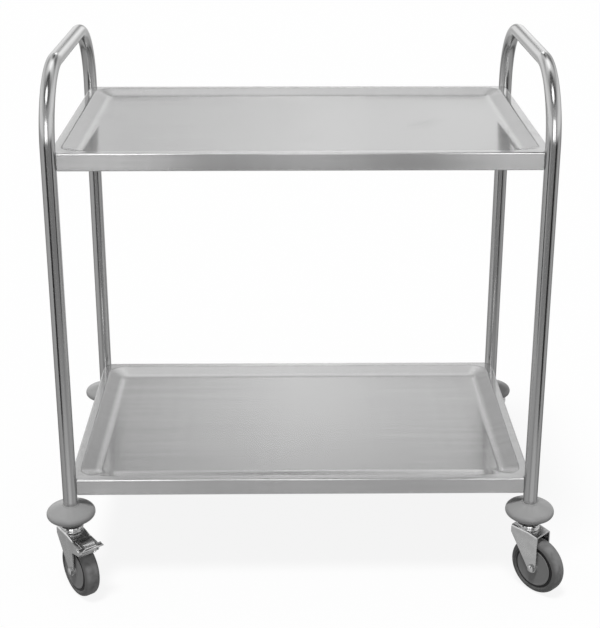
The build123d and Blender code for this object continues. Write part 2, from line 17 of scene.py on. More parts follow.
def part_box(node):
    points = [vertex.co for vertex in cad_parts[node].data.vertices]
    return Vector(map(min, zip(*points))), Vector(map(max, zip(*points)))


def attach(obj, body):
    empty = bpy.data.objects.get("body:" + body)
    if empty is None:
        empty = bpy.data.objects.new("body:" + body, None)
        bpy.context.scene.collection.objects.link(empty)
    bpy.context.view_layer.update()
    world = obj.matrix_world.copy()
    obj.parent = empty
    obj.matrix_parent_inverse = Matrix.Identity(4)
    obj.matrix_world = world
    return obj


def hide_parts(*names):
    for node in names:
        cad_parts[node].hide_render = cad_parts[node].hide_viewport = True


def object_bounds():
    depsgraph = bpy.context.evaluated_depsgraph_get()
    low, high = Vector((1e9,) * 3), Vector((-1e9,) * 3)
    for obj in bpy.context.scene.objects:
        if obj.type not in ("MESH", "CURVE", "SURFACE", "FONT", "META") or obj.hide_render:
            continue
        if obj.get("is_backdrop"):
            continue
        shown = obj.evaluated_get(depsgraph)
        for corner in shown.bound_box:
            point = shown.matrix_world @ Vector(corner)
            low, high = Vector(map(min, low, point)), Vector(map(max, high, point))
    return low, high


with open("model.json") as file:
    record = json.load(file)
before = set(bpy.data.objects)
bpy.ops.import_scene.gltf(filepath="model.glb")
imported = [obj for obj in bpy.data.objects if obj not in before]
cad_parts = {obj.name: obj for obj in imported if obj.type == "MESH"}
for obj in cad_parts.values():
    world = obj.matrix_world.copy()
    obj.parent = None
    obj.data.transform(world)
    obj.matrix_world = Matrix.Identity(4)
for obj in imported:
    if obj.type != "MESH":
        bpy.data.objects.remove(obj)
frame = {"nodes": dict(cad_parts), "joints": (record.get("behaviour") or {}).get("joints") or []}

MM = 0.001
scene = bpy.context.scene
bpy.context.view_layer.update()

# %% [markdown]
# ## The camera
# The photograph was taken from a little above the top shelf, about two metres in front, with a long
# lens. Its upright edges hardly lean, which a lens shift gives. The camera stands at that place. A small
# shift is kept, so that the object stays in the picture when the camera is moved round it.

# %% Camera
def new_object(name, data):
    """An object in the scene that shows a mesh, a lamp or a camera."""
    obj = bpy.data.objects.new(name, data)
    scene.collection.objects.link(obj)
    return obj


camera = new_object("photo_camera", bpy.data.cameras.new("photo_camera"))
camera.location = (-0.0208, -2.2713, 1.3624)
camera.rotation_euler = (math.pi / 2 - 0.3353, 0, -0.0097)
camera.data.sensor_width = 36
camera.data.lens = 75.56
camera.data.shift_y = -0.12
scene.camera = camera
scene.view_settings.view_transform = "Standard"
print("camera at", tuple(round(v, 3) for v in camera.location))

# %% [markdown]
# ## Small helpers for node trees
# Every finish below is a node tree. A few helpers keep the cells short: one adds a node and sets its
# values, one joins sockets, and the others place a node that is often needed and give its output.

# %% Node helpers
def add(tree, kind, values=None, **settings):
    """A new node, with its settings and its unlinked input values."""
    node = tree.nodes.new(kind)
    for key, value in settings.items():
        setattr(node, key, value)
    for key, value in (values or {}).items():
        node.inputs[key].default_value = value
    return node


def wire(tree, *pairs):
    for source, target in pairs:
        tree.links.new(source, target)


def maths(tree, operation, first, second=None):
    """The output of a Math node; an input is a socket or a number."""
    node = add(tree, "ShaderNodeMath", operation=operation)
    for slot, value in enumerate((first, second)):
        if isinstance(value, (int, float)):
            node.inputs[slot].default_value = value
        elif value is not None:
            wire(tree, (value, node.inputs[slot]))
    return node.outputs[0]


def spread(tree, value, low, high, start=0.0, end=1.0, smooth=False):
    """Maps a value from start..end to low..high."""
    node = add(tree, "ShaderNodeMapRange", {1: start, 2: end, 3: low, 4: high})
    node.interpolation_type = "SMOOTHSTEP" if smooth else "LINEAR"
    wire(tree, (value, node.inputs[0]))
    return node.outputs[0]


def grey(value):
    return (value, value, value, 1)


def tone_ramp(tree, value, stops):
    """A ramp of greys; each stop is a place from 0 to 1 and a grey."""
    node = add(tree, "ShaderNodeValToRGB")
    ramp = node.color_ramp
    while len(ramp.elements) > 1:
        ramp.elements.remove(ramp.elements[-1])
    for index, (place, tone) in enumerate(stops):
        stop = ramp.elements[0] if index == 0 else ramp.elements.new(place)
        stop.position = place
        stop.color = grey(tone)
    wire(tree, (value, node.inputs[0]))
    return node.outputs[0]


def tone_between(tree, mask, dark, light, clamp=True):
    """A grey between two others; a mask that isn't clamped also goes past them."""
    node = add(tree, "ShaderNodeMix", data_type="RGBA", clamp_factor=clamp)
    node.inputs["A"].default_value = grey(dark)
    node.inputs["B"].default_value = grey(light)
    wire(tree, (mask, node.inputs["Factor"]))
    return node.outputs["Result"]


def mirrored(tree, rays):
    """1 for a ray that has met metal or glass."""
    return maths(tree, "MAXIMUM", rays["Is Glossy Ray"], rays["Is Transmission Ray"])


print("node helpers ready")

# %% [markdown]
# ## The studio
# Polished metal shows its surroundings, so half of this trolley's look is the room. The photograph's
# backdrop is white, but its metal shows more: walls with light and dark parts, a bright band high on the
# back wall, windows at the camera's side that draw the light and dark parts of the skirts, and a lamp
# overhead. Here the world is that room. Each part of it is a ramp of greys round the compass, where 0 is
# the camera's side and 180 is behind the trolley. A part begins between two heights, where -1 is
# straight down and 1 is straight up.

# %% Parts of the room
ROOM_FLOOR = [(-180, 0.6), (-145, 0.44), (-131, 0.1), (-118, 0.34), (-60, 0.42), (-40, 0.4), (-31, 0.26),
              (-22, 0.48), (0, 0.66), (35, 0.56), (45, 0.34), (56, 0.43), (90, 0.44), (112, 0.3),
              (126, 0.08), (140, 0.42), (180, 0.6)]
LOW_WALL = [(-180, 0.9), (-150, 0.6), (-138, 0.46), (-131, 0.14), (-123, 0.44), (-60, 0.5), (-42, 0.44),
            (-32, 0.28), (-20, 0.24), (40, 0.24), (56, 0.3), (78, 0.42), (92, 0.5), (110, 0.44),
            (117, 0.12), (124, 0.44), (150, 0.6), (180, 0.9)]
WALL = [(-180, 0.4), (-176, 0.72), (-171, 1.35), (-167, 1.35), (-150, 0.95), (-120, 0.9), (-90, 0.9),
        (-50, 0.85), (-24, 0.4), (24, 0.4), (50, 0.85), (90, 0.9), (120, 0.9), (145, 0.8), (154, 0.68),
        (161, 0.85), (167, 1.6), (172, 1.5), (176, 0.9), (180, 0.4)]
BRIGHT_BAND = [(-180, 3.3), (-176, 2.1), (-172, 0.35), (-170, 0.15), (-164, 0.85), (-150, 0.8), (-90, 0.9),
               (-50, 0.85), (-24, 0.4), (24, 0.4), (50, 0.85), (90, 0.9), (130, 0.85), (150, 0.6),
               (161, 0.45), (167, 0.4), (171, 0.5), (175, 1.8), (178, 3.1), (180, 3.3)]
HIGH_WALL = [(-180, 0.0), (-176, 0.1), (-171, 0.4), (-164, 0.85), (-150, 0.5), (-90, 0.8), (-40, 0.45),
             (40, 0.45), (90, 0.8), (130, 0.5), (150, 0.2), (162, 0.22), (167, 0.5), (171, 0.5), (175, 0.2),
             (178, 0.0), (180, 0.0)]
CEILING = [(-180, 1.7), (-140, 0.9), (-100, 0.4), (-60, 0.12), (60, 0.12), (100, 0.4), (140, 0.9),
           (180, 1.7)]
ZENITH = [(0, 0.08)]
# The two heights between which a part begins, and its greys
LOWER_ROOM = [(-0.5, -0.36, LOW_WALL), (-0.1, 0.06, WALL), (0.31, 0.36, BRIGHT_BAND)]
UPPER_ROOM = [(0.43, 0.46, HIGH_WALL), (0.62, 0.8, CEILING), (0.93, 0.98, ZENITH)]

WINDOWS = [(-18, 0.0), (-15, 0.55), (-10.5, 0.6), (-8, 0.9), (-6, 1.0), (-5, 0.5), (-4.2, 0.0), (-2.2, 0.0),
           (-0.5, 0.45), (2.2, 0.6), (4, 0.05), (7.4, 0.0), (8.4, 0.95), (10.5, 1.0), (12, 0.6), (15, 0.5),
           (18, 0.0)]
WINDOW_STRENGTH, WINDOW_FOOT, WINDOW_HEAD = 3.8, (-0.08, 0.0), (0.45, 0.6)
SPOT_WAY = Vector((-0.08, -0.42, 0.9)).normalized()
SPOT_STRENGTH, SPOT_EDGE = 2.2, (0.965, 0.985)
AMBIENT = 0.36
print("parts of the room", 1 + len(LOWER_ROOM) + len(UPPER_ROOM))

# %% [markdown]
# The parts are laid on each other from the floor up, and the windows and the lamp are added to them.
# Glossy and transmission rays see this room, camera rays see plain white, and all other rays get an even
# soft light.

# %% World
world = bpy.data.worlds.new("white_studio")
world.use_nodes = True
scene.world = world
room = world.node_tree
way = add(room, "ShaderNodeTexCoord").outputs["Generated"]
look = add(room, "ShaderNodeSeparateXYZ")
wire(room, (way, look.inputs[0]))
height = look.outputs["Z"]
bearing = maths(room, "ARCTAN2", look.outputs["X"], maths(room, "MULTIPLY", look.outputs["Y"], -1.0))
compass = spread(room, bearing, 0.0, 1.0, -math.pi, math.pi)


def room_ramp(stops):
    return tone_ramp(room, compass, [((angle + 180) / 360, tone) for angle, tone in stops])


def stack_room(part, layers):
    """Lays further parts of the room on a part; each begins between two heights."""
    for start, end, stops in layers:
        step = add(room, "ShaderNodeMix", data_type="RGBA")
        wire(room, (part, step.inputs["A"]), (room_ramp(stops), step.inputs["B"]),
             (spread(room, height, 0.0, 1.0, start, end, smooth=True), step.inputs["Factor"]))
        part = step.outputs["Result"]
    return part


def add_light(part, colour, strength):
    """Adds a light's colour, times its strength, to a part of the room."""
    scaled, total = (add(room, "ShaderNodeVectorMath", operation=kind) for kind in ("SCALE", "ADD"))
    wire(room, (colour, scaled.inputs[0]), (strength, scaled.inputs["Scale"]),
         (scaled.outputs[0], total.inputs[0]), (part, total.inputs[1]))
    return total.outputs[0]


rise = maths(room, "MULTIPLY", spread(room, height, 0.0, WINDOW_STRENGTH, *WINDOW_FOOT, smooth=True),
             spread(room, height, 1.0, 0.0, *WINDOW_HEAD, smooth=True))
lower_room = add_light(stack_room(room_ramp(ROOM_FLOOR), LOWER_ROOM), room_ramp(WINDOWS), rise)
facing = add(room, "ShaderNodeVectorMath", {1: SPOT_WAY}, operation="DOT_PRODUCT")
wire(room, (way, facing.inputs[0]))
glow = spread(room, facing.outputs["Value"], 0.0, SPOT_STRENGTH, *SPOT_EDGE, smooth=True)
whole_room = add_light(stack_room(lower_room, UPPER_ROOM), room_ramp([(0, 1.0)]), glow)
rays = add(room, "ShaderNodeLightPath").outputs
light, white = (add(room, "ShaderNodeMix", data_type="RGBA") for part in range(2))
light.inputs["A"].default_value = grey(AMBIENT)
white.inputs["B"].default_value = grey(1.0)
wire(room, (mirrored(room, rays), light.inputs["Factor"]), (whole_room, light.inputs["B"]),
     (rays["Is Camera Ray"], white.inputs["Factor"]), (light.outputs["Result"], white.inputs["A"]),
     (white.outputs["Result"], room.nodes["Background"].inputs["Color"]))
print("nodes of the room", len(room.nodes))

# %% [markdown]
# ## Lamp and floor
# One lamp hangs high in front, so that the lower shelf shades the inner part of each bumper. The floor
# is a large pale disc. Part of its light is its own where the camera looks at it, so that it renders
# white and still keeps the soft shadow of the trolley. Reflections see the room instead of it.

# %% Lamp and floor
FLOOR_RADIUS = 40
PAPER_GLOW = 0.88


def to_mesh(shape, name):
    """Turns a bmesh into a mesh and frees it."""
    mesh = bpy.data.meshes.new(name)
    shape.to_mesh(mesh)
    shape.free()
    return mesh


def primitive(name, make, **values):
    """A mesh of one of Blender's own shapes."""
    shape = bmesh.new()
    make(shape, **values)
    return to_mesh(shape, name)


lamp = new_object("softbox", bpy.data.lights.new("softbox", "SUN"))
lamp.data.energy = 2.15
lamp.data.angle = math.radians(14)
lamp.visible_glossy = False
lamp.rotation_euler = Vector((0.14, 0.3, -1.0)).to_track_quat("-Z", "Y").to_euler()

disc = primitive("studio_floor", bmesh.ops.create_circle, cap_ends=True, radius=FLOOR_RADIUS, segments=96)
floor = new_object("studio_floor", disc)
floor.visible_glossy = False
floor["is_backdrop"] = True

paper = bpy.data.materials.new("white_paper")
paper.use_nodes = True
sheet = paper.node_tree
sheet.nodes.remove(sheet.nodes["Principled BSDF"])
matt = add(sheet, "ShaderNodeBsdfDiffuse")
own = add(sheet, "ShaderNodeEmission", {"Color": grey(1.0), "Strength": 1.0})
rays = add(sheet, "ShaderNodeLightPath").outputs
shown = maths(sheet, "MAXIMUM", rays["Is Camera Ray"], mirrored(sheet, rays))
both = add(sheet, "ShaderNodeMixShader")
wire(sheet, (tone_between(sheet, shown, 0.4, 0.95), matt.inputs["Color"]),
     (maths(sheet, "MULTIPLY", shown, PAPER_GLOW), both.inputs[0]), (matt.outputs[0], both.inputs[1]),
     (own.outputs[0], both.inputs[2]), (both.outputs[0], sheet.nodes["Material Output"].inputs["Surface"]))
disc.materials.append(paper)
print("floor radius", FLOOR_RADIUS, "m, lamp energy", round(lamp.data.energy, 2))

# %% [markdown]
# ## Two black cards
# A polished tube in a white room has no edge that the eye can hold. Photographers stand a black card at
# each side of the camera, and each leg then shows it as one dark line. A card in the far room would draw
# the same line on every leg, but these stand near, so that the line's place changes from leg to leg as
# it does in the photograph. Only reflections see them. The floor is left out of reflections, so the
# cards can reach a little below it, and the lines then run further down the legs.

# %% Cards
CARD_TOP = 0.7
# Place along X and Y, width and height of the foot
CARDS = {"left": (-0.85, -0.99, 0.4, -0.12), "right": (1.08, -0.97, 0.5, -0.18)}

black = bpy.data.materials.new("black_card")
black.use_nodes = True
black.node_tree.nodes["Principled BSDF"].inputs["Base Color"].default_value = grey(0.02)
black.node_tree.nodes["Principled BSDF"].inputs["Roughness"].default_value = 0.9
for side, (x, y, width, bottom) in CARDS.items():
    along = Vector((-y, x, 0)).normalized() * width / 2
    foot, head = Vector((x, y, bottom)), Vector((x, y, CARD_TOP))
    mesh = bpy.data.meshes.new(f"{side}_card")
    mesh.from_pydata([foot - along, foot + along, head + along, head - along], [], [(0, 1, 2, 3)])
    mesh.materials.append(black)
    card = new_object(f"{side}_card", mesh)
    card.visible_camera = card.visible_diffuse = card.visible_shadow = False
    card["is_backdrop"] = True
print("cards", len(CARDS))

# %% [markdown]
# ## Effects that several finishes share
# Brushed sheet, drawn tube and pressed steel all have fine lines, cloudy patches and finger marks, only
# at other sizes. Each effect is a node group with its own inputs, built once and placed in every finish
# that needs it. A group gives masks only; the shader itself stays in the material.

# %% Node groups for the finishes
def new_effect(name, inputs, outputs):
    """A new node group, with the sockets inside it that its inputs and outputs meet."""
    tree = bpy.data.node_groups.new(name, "ShaderNodeTree")
    tree.interface.new_socket("Vector", in_out="INPUT", socket_type="NodeSocketVector")
    for label, value in inputs:
        tree.interface.new_socket(label, in_out="INPUT", socket_type="NodeSocketFloat").default_value = value
    for label in outputs:
        tree.interface.new_socket(label, in_out="OUTPUT", socket_type="NodeSocketFloat")
    return tree, add(tree, "NodeGroupInput").outputs, add(tree, "NodeGroupOutput").inputs


def stretched_noise(tree, vector, along, across, detail):
    """Noise whose spots are stretched out along the vector's first axis."""
    parts = add(tree, "ShaderNodeSeparateXYZ")
    point = add(tree, "ShaderNodeCombineXYZ")
    wire(tree, (vector, parts.inputs[0]))
    for axis, rate in enumerate((along, across, across)):
        wire(tree, (maths(tree, "MULTIPLY", parts.outputs[axis], rate), point.inputs[axis]))
    noise = add(tree, "ShaderNodeTexNoise", {"Scale": 1.0, "Detail": detail, "Roughness": 0.6})
    wire(tree, (point.outputs[0], noise.inputs["Vector"]))
    return noise.outputs[0]


brush_lines, inner, outer = new_effect("Brush lines", [("Lines per metre", 500), ("Breaks per metre", 5)],
                                       ["Lines", "Streaks"])
for label, breaks, lines, detail in (("Lines", 1.0, 1.0, 3.0), ("Streaks", 0.3, 0.12, 2.0)):
    along = maths(brush_lines, "MULTIPLY", inner["Breaks per metre"], breaks)
    across = maths(brush_lines, "MULTIPLY", inner["Lines per metre"], lines)
    wire(brush_lines, (stretched_noise(brush_lines, inner["Vector"], along, across, detail), outer[label]))

mottle, inner, outer = new_effect("Mottle", [("Patches per metre", 40), ("Specks per metre", 900)],
                                  ["Patches", "Specks"])
for label, detail in (("Patches", 3.0), ("Specks", 1.0)):
    noise = add(mottle, "ShaderNodeTexNoise", {"Detail": detail, "Roughness": 0.55})
    wire(mottle, (inner["Vector"], noise.inputs["Vector"]),
         (inner[f"{label} per metre"], noise.inputs["Scale"]), (noise.outputs[0], outer[label]))

smudges, inner, outer = new_effect("Smudges", [("Marks per metre", 12), ("Cover", 0.5)], ["Marks"])
noise = add(smudges, "ShaderNodeTexNoise", {"Detail": 4.0, "Roughness": 0.6, "Distortion": 0.6})
wire(smudges, (inner["Vector"], noise.inputs["Vector"]), (inner["Marks per metre"], noise.inputs["Scale"]))
soft = add(smudges, "ShaderNodeMapRange", {3: 0.0, 4: 1.0}, interpolation_type="SMOOTHSTEP")
edge = maths(smudges, "SUBTRACT", 1.0, inner["Cover"])
wire(smudges, (noise.outputs[0], soft.inputs[0]), (edge, soft.inputs[1]),
     (maths(smudges, "ADD", edge, 0.22), soft.inputs[2]), (soft.outputs[0], outer["Marks"]))
print("effects", [group.name for group in (brush_lines, mottle, smudges)])

# %% [markdown]
# ## Helpers for the finishes
# A finish starts from one Principled shader. Its fixed numbers go straight on the shader's sockets. Only
# what changes over the surface, such as tone, roughness and a fine bump, comes from the effects.

# %% Finish helpers
def new_finish(name, metallic=0.0, **sockets):
    """A material with fixed numbers on its shader's sockets."""
    material = bpy.data.materials.new(name)
    material.use_nodes = True
    surface = material.node_tree.nodes["Principled BSDF"]
    surface.inputs["Metallic"].default_value = metallic
    for label, value in sockets.items():
        surface.inputs[label.replace("_", " ")].default_value = value
    return material, material.node_tree, surface


def place_effect(tree, effect, vector, **values):
    node = add(tree, "ShaderNodeGroup", node_tree=effect)
    for label, value in values.items():
        node.inputs[label.replace("_", " ")].default_value = value
    wire(tree, (vector, node.inputs["Vector"]))
    return node.outputs


def object_place(tree):
    return add(tree, "ShaderNodeTexCoord").outputs["Object"]


def plus(tree, value, mask, amount):
    """A value with an amount of a mask added to it."""
    return maths(tree, "ADD", value, maths(tree, "MULTIPLY", mask, amount))


def blend(tree, first, second, share):
    """A share of the second value and the rest of the first."""
    return plus(tree, maths(tree, "MULTIPLY", first, 1 - share), second, share)


def bump(tree, height, strength, depth):
    node = add(tree, "ShaderNodeBump", {"Strength": strength, "Distance": depth})
    wire(tree, (height, node.inputs["Height"]))
    return node.outputs[0]


def dress(tree, surface, tone, rough, relief):
    """Joins a tone, a roughness and a bump to the shader."""
    wire(tree, (tone, surface.inputs["Base Color"]), (rough, surface.inputs["Roughness"]),
         (relief, surface.inputs["Normal"]))


print("finish helpers ready")

# %% [markdown]
# ## Brushed stainless sheet
# The shelves are cut from sheet that was brushed along its length. Brushing leaves fine lines, and light
# spreads across them, so a reflection is smeared from front to back. That is an anisotropic shader. Its
# direction has to follow the sheet round every fold, so it reads the shelf's own flat pattern, a UV map
# called "flat". The tone also carries painted light and shade, which the shelf's mesh places in an
# attribute: below 0 the sheet is painted lighter as a painted highlight, and above 0 it is painted darker
# as painted shade.

# %% Brushed sheet
brushed_sheet, tree, surface = new_finish("brushed_sheet", 1.0, Anisotropic=1.0, Anisotropic_Rotation=0.25)
flat = add(tree, "ShaderNodeUVMap", uv_map="flat").outputs[0]
across = add(tree, "ShaderNodeMapping", {"Rotation": (0, 0, math.pi / 2)})
wire(tree, (flat, across.inputs["Vector"]))
lines = place_effect(tree, brush_lines, flat, Lines_per_metre=520, Breaks_per_metre=7)
bands = place_effect(tree, brush_lines, across.outputs[0], Lines_per_metre=60, Breaks_per_metre=3)
marks = place_effect(tree, smudges, flat, Marks_per_metre=7, Cover=0.42)
fine = blend(tree, blend(tree, lines["Lines"], lines["Streaks"], 0.65), bands["Lines"], 0.25)
# Painted light and shade from the shelf's mesh: a painted highlight on the rim and rolled edge, painted shade
# on the slopes, and a dark line of painted shade in the crease.
painted_light = add(tree, "ShaderNodeAttribute", attribute_name="painted_light").outputs["Fac"]
shine = plus(tree, spread(tree, fine, 0.0, 1.0, 0.36, 0.64), painted_light, -1.1)
rough = plus(tree, spread(tree, fine, 0.19, 0.22, 0.3, 0.7), marks["Marks"], 0.04)
dress(tree, surface, tone_between(tree, shine, 0.559, 0.609, clamp=False), rough,
      bump(tree, lines["Lines"], 0.06, 0.04 * MM))
grain = add(tree, "ShaderNodeTangent", direction_type="UV_MAP", uv_map="flat")
wire(tree, (grain.outputs[0], surface.inputs["Tangent"]))
print(brushed_sheet.name)

# %% [markdown]
# ## Polished tube
# The tubes were drawn and then belt polished: close to a mirror, with hair lines along the tube. The
# side frame's mesh stores where each point would be on a straight tube, in an attribute called
# "tube_map", so that the lines run round the handle's bends with the tube.

# %% Polished tube
polished_tube, tree, surface = new_finish("polished_tube", 1.0, Specular_Tint=grey(0.7))
along = add(tree, "ShaderNodeAttribute", attribute_name="tube_map").outputs["Vector"]
lines = place_effect(tree, brush_lines, along, Lines_per_metre=1500, Breaks_per_metre=9)
marks = place_effect(tree, smudges, object_place(tree), Marks_per_metre=16, Cover=0.45)
tone = tone_between(tree, spread(tree, lines["Streaks"], 0.0, 1.0, 0.3, 0.7), 0.58, 0.66)
rough = plus(tree, spread(tree, lines["Lines"], 0.14, 0.2, 0.3, 0.7), marks["Marks"], 0.04)
dress(tree, surface, tone, rough, bump(tree, lines["Lines"], 0.1, 0.03 * MM))
print(polished_tube.name)

# %% [markdown]
# ## Zinc plated steel
# Forks, pedals, bolts and the fixings under the shelves are pressed steel with a thin zinc coat: a metal
# with cloudy patches, fine specks and a soft gloss. It reads Object coordinates, as its pattern has no
# direction. The same nodes give a brighter coat for small pieces, a dark steel for leaf springs, and a
# dark steel that is painted shade on the flanks of the axle heads and on the axle nuts.

# %% Zinc plated steel
def zinc_finish(name, dark, light, smooth, dull):
    """A metal with tones from dark to light and a roughness from smooth to dull."""
    material, tree, surface = new_finish(name, 1.0)
    place = object_place(tree)
    cloud = place_effect(tree, mottle, place, Patches_per_metre=70, Specks_per_metre=1600)
    marks = place_effect(tree, smudges, place, Marks_per_metre=30, Cover=0.4)
    mixed = blend(tree, cloud["Patches"], cloud["Specks"], 0.3)
    tone = tone_between(tree, spread(tree, mixed, 0.0, 1.0, 0.35, 0.65), dark, light)
    rough = plus(tree, spread(tree, mixed, smooth, dull, 0.35, 0.65), marks["Marks"], 0.06)
    dress(tree, surface, tone, rough, bump(tree, cloud["Specks"], 0.12, 0.05 * MM))
    return material


zinc_plate = zinc_finish("zinc_plate", 0.8, 0.92, 0.18, 0.3)
bright_zinc = zinc_finish("bright_zinc", 0.76, 0.9, 0.06, 0.13)
spring_steel = zinc_finish("spring_steel", 0.3, 0.4, 0.24, 0.36)
# Painted shade: a dark steel for the axle heads' flanks and the axle nuts.
turned_steel = zinc_finish("turned_steel", 0.26, 0.34, 0.14, 0.24)
print(zinc_plate.name, bright_zinc.name, spring_steel.name, turned_steel.name)

# %% [markdown]
# ## Moulded plastic and rubber
# The bumpers are grey plastic with a fine moulded grain. They get dull where they meet walls, and the
# tread of a tyre gets dull and paler. Each of these pieces stores that place in an attribute called
# "rub", from 0 to 1, and the finish breaks it up with a cloudy mask.

# %% Plastic and rubber
def moulded_finish(name, body, worn, smooth, dull, grain):
    """The tones of the body and of its worn places, a roughness from smooth to dull, and specks per metre."""
    material, tree, surface = new_finish(name)
    cloud = place_effect(tree, mottle, object_place(tree), Patches_per_metre=60, Specks_per_metre=grain)
    rub = add(tree, "ShaderNodeAttribute", attribute_name="rub").outputs["Fac"]
    broken = maths(tree, "MULTIPLY", rub, spread(tree, cloud["Patches"], 0.35, 1.0, 0.35, 0.6))
    tint = maths(tree, "ADD", broken, spread(tree, cloud["Patches"], -0.06, 0.06, 0.3, 0.7))
    rough = spread(tree, maths(tree, "ADD", broken, cloud["Specks"]), smooth, dull, 0.3, 1.5)
    tone = tone_between(tree, tint, body, worn)
    dress(tree, surface, tone, rough, bump(tree, cloud["Specks"], 0.2, 0.1 * MM))
    return material


bumper_plastic = moulded_finish("bumper_plastic", 0.33, 0.32, 0.24, 0.36, 1500)
guard_plastic = moulded_finish("guard_plastic", 0.21, 0.26, 0.4, 0.6, 1500)
core_plastic = moulded_finish("core_plastic", 0.012, 0.03, 0.45, 0.6, 1500)
tyre_rubber = moulded_finish("tyre_rubber", 0.12, 0.24, 0.5, 0.78, 2200)
print(bumper_plastic.name, guard_plastic.name, core_plastic.name, tyre_rubber.name)

# %% [markdown]
# ## Helpers for pieces
# A finished piece is a mesh object at the origin that rides on a body and stands for one or more solids.
# Pressed pieces are softened copies of their solids. Rounding is done by modifiers, and settling turns
# an object with modifiers into a plain mesh.

# %% Piece helpers
def settle(obj):
    """Replaces an object's mesh by the result of its modifiers."""
    graph = bpy.context.evaluated_depsgraph_get()
    mesh = bpy.data.meshes.new_from_object(
        obj.evaluated_get(graph), preserve_all_data_layers=True, depsgraph=graph)
    obj.modifiers.clear()
    obj.data = mesh
    return mesh


def fit_piece(obj, body, slot, *nodes):
    """Rides on a body and stands for the solids; the slot is not used."""
    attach(obj, body)
    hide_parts(*nodes)
    return obj


def level_faces(obj):
    """Keeps flat faces flat beside rounded edges."""
    level = obj.modifiers.new("flat faces", "WEIGHTED_NORMAL")
    level.keep_sharp = True


def soften(obj, width, segments=3):
    """Rounds an object's sharp edges."""
    obj.data.shade_smooth()
    edge = obj.modifiers.new("round", "BEVEL")
    edge.width = width
    edge.segments = segments
    edge.limit_method = "ANGLE"
    edge.angle_limit = math.radians(32)
    edge.use_clamp_overlap = True
    edge.miter_outer = "MITER_ARC"
    level_faces(obj)
    settle(obj)


def soft_copy(name, node, finish, width, segments=3):
    """A copy of a solid with its loose triangles joined, flat faces cleaned and edges rounded."""
    mesh = frame["nodes"][node].data.copy()
    shape = bmesh.new()
    shape.from_mesh(mesh)
    bmesh.ops.remove_doubles(shape, verts=shape.verts, dist=2e-6)
    bmesh.ops.dissolve_limit(shape, angle_limit=math.radians(0.6), verts=shape.verts, edges=shape.edges)
    shape.to_mesh(mesh)
    shape.free()
    mesh.materials.clear()
    mesh.materials.append(finish)
    obj = new_object(name, mesh)
    soften(obj, width, segments)
    return obj


def shade(mesh, finish, angle=35):
    """Gives a mesh its finish, smooth but for edges sharper than the angle."""
    mesh.materials.clear()
    mesh.materials.append(finish)
    mesh.shade_smooth()
    mesh.set_sharp_from_angle(angle=math.radians(angle))


print("piece helpers ready")

# %% [markdown]
# ## Turned pieces
# Bumpers, wheels and ball races are round, so a lathe makes them: an outline of points is turned about
# the Z axis, and each point becomes a ring. A second helper rounds the outline's corners first, and a
# third joins meshes.

# %% Lathe
def ring_of(shape, radius, height, steps):
    """A ring of points about the Z axis."""
    turns = [2 * math.pi * step / steps for step in range(steps)]
    return [shape.verts.new((radius * math.cos(a), radius * math.sin(a), height)) for a in turns]


def bridge(shape, first, second):
    """The faces between two rings of points."""
    made = []
    for step in range(len(first)):
        after = (step + 1) % len(first)
        made.append(shape.faces.new((first[step], first[after], second[after], second[step])))
    return made


def lathe(points, steps=72, rub=None):
    """A closed outline of (radius, height) points turned about Z; rub is a value for each point."""
    shape = bmesh.new()
    layer = shape.verts.layers.float.new("rub")
    rings = [ring_of(shape, radius, height, steps) for radius, height in points]
    for ring, value in zip(rings, rub or [0.0] * len(rings)):
        for vert in ring:
            vert[layer] = value
    for index, ring in enumerate(rings):
        bridge(shape, ring, rings[(index + 1) % len(rings)])
    bmesh.ops.recalc_face_normals(shape, faces=shape.faces)
    return to_mesh(shape, "turned")


def round_corners(points, radius, steps=3):
    """A closed outline with every corner rounded, as far as its sides allow."""
    made = []
    for index, point in enumerate(points):
        here = Vector(point)
        back, ahead = Vector(points[index - 1]) - here, Vector(points[(index + 1) % len(points)]) - here
        opening = back.angle(ahead)
        if opening > math.radians(172):
            made.append(tuple(here))
            continue
        reach = min(radius / math.tan(opening / 2), 0.45 * back.length, 0.45 * ahead.length)
        start, end = here + back.normalized() * reach, here + ahead.normalized() * reach
        for step in range(steps + 1):
            t = step / steps
            made.append(tuple(start * (1 - t) ** 2 + here * 2 * t * (1 - t) + end * t ** 2))
    return made


def rubbed_from(points, start, reach):
    """How far each point of an outline is rubbed: 0 up to a radius, rising to 1 over a reach."""
    return [max(0.0, min(1.0, (radius - start) / reach)) for radius, height in points]


def merge(target, *others):
    """Adds other meshes to a mesh."""
    whole = bmesh.new()
    for mesh in (target, *others):
        whole.from_mesh(mesh)
    whole.to_mesh(target)
    whole.free()
    return target


print("lathe ready")

# %% [markdown]
# ## Side frames
# Each side frame is one tube bent twice: a leg, a handle and a leg. The tube follows a path, so Geometry
# Nodes make it. Four points and three edges become a curve, Fillet Curve bends the two upper corners,
# and Curve to Mesh sweeps the round section along it. On the way the tree stores the straight-tube place
# of every point for the finish.

# %% Tube tree
def shape_tree(name, **inputs):
    """A new Geometry Nodes tree with named inputs."""
    tree = bpy.data.node_groups.new(name, "GeometryNodeTree")
    for label, kind in {"Geometry": "Geometry", **inputs}.items():
        tree.interface.new_socket(label.replace("_", " "), in_out="INPUT", socket_type=f"NodeSocket{kind}")
    tree.interface.new_socket("Geometry", in_out="OUTPUT", socket_type="NodeSocketGeometry")
    return tree, add(tree, "NodeGroupInput").outputs, add(tree, "NodeGroupOutput").inputs


def end_tree(tree, shape, finish, result):
    """Ends a tree: instances become plain mesh, and the mesh gets its finish."""
    real = add(tree, "GeometryNodeRealizeInstances")
    paint = add(tree, "GeometryNodeSetMaterial")
    wire(tree, (shape, real.inputs[0]), (real.outputs[0], paint.inputs[0]),
         (finish, paint.inputs["Material"]), (paint.outputs[0], result[0]))


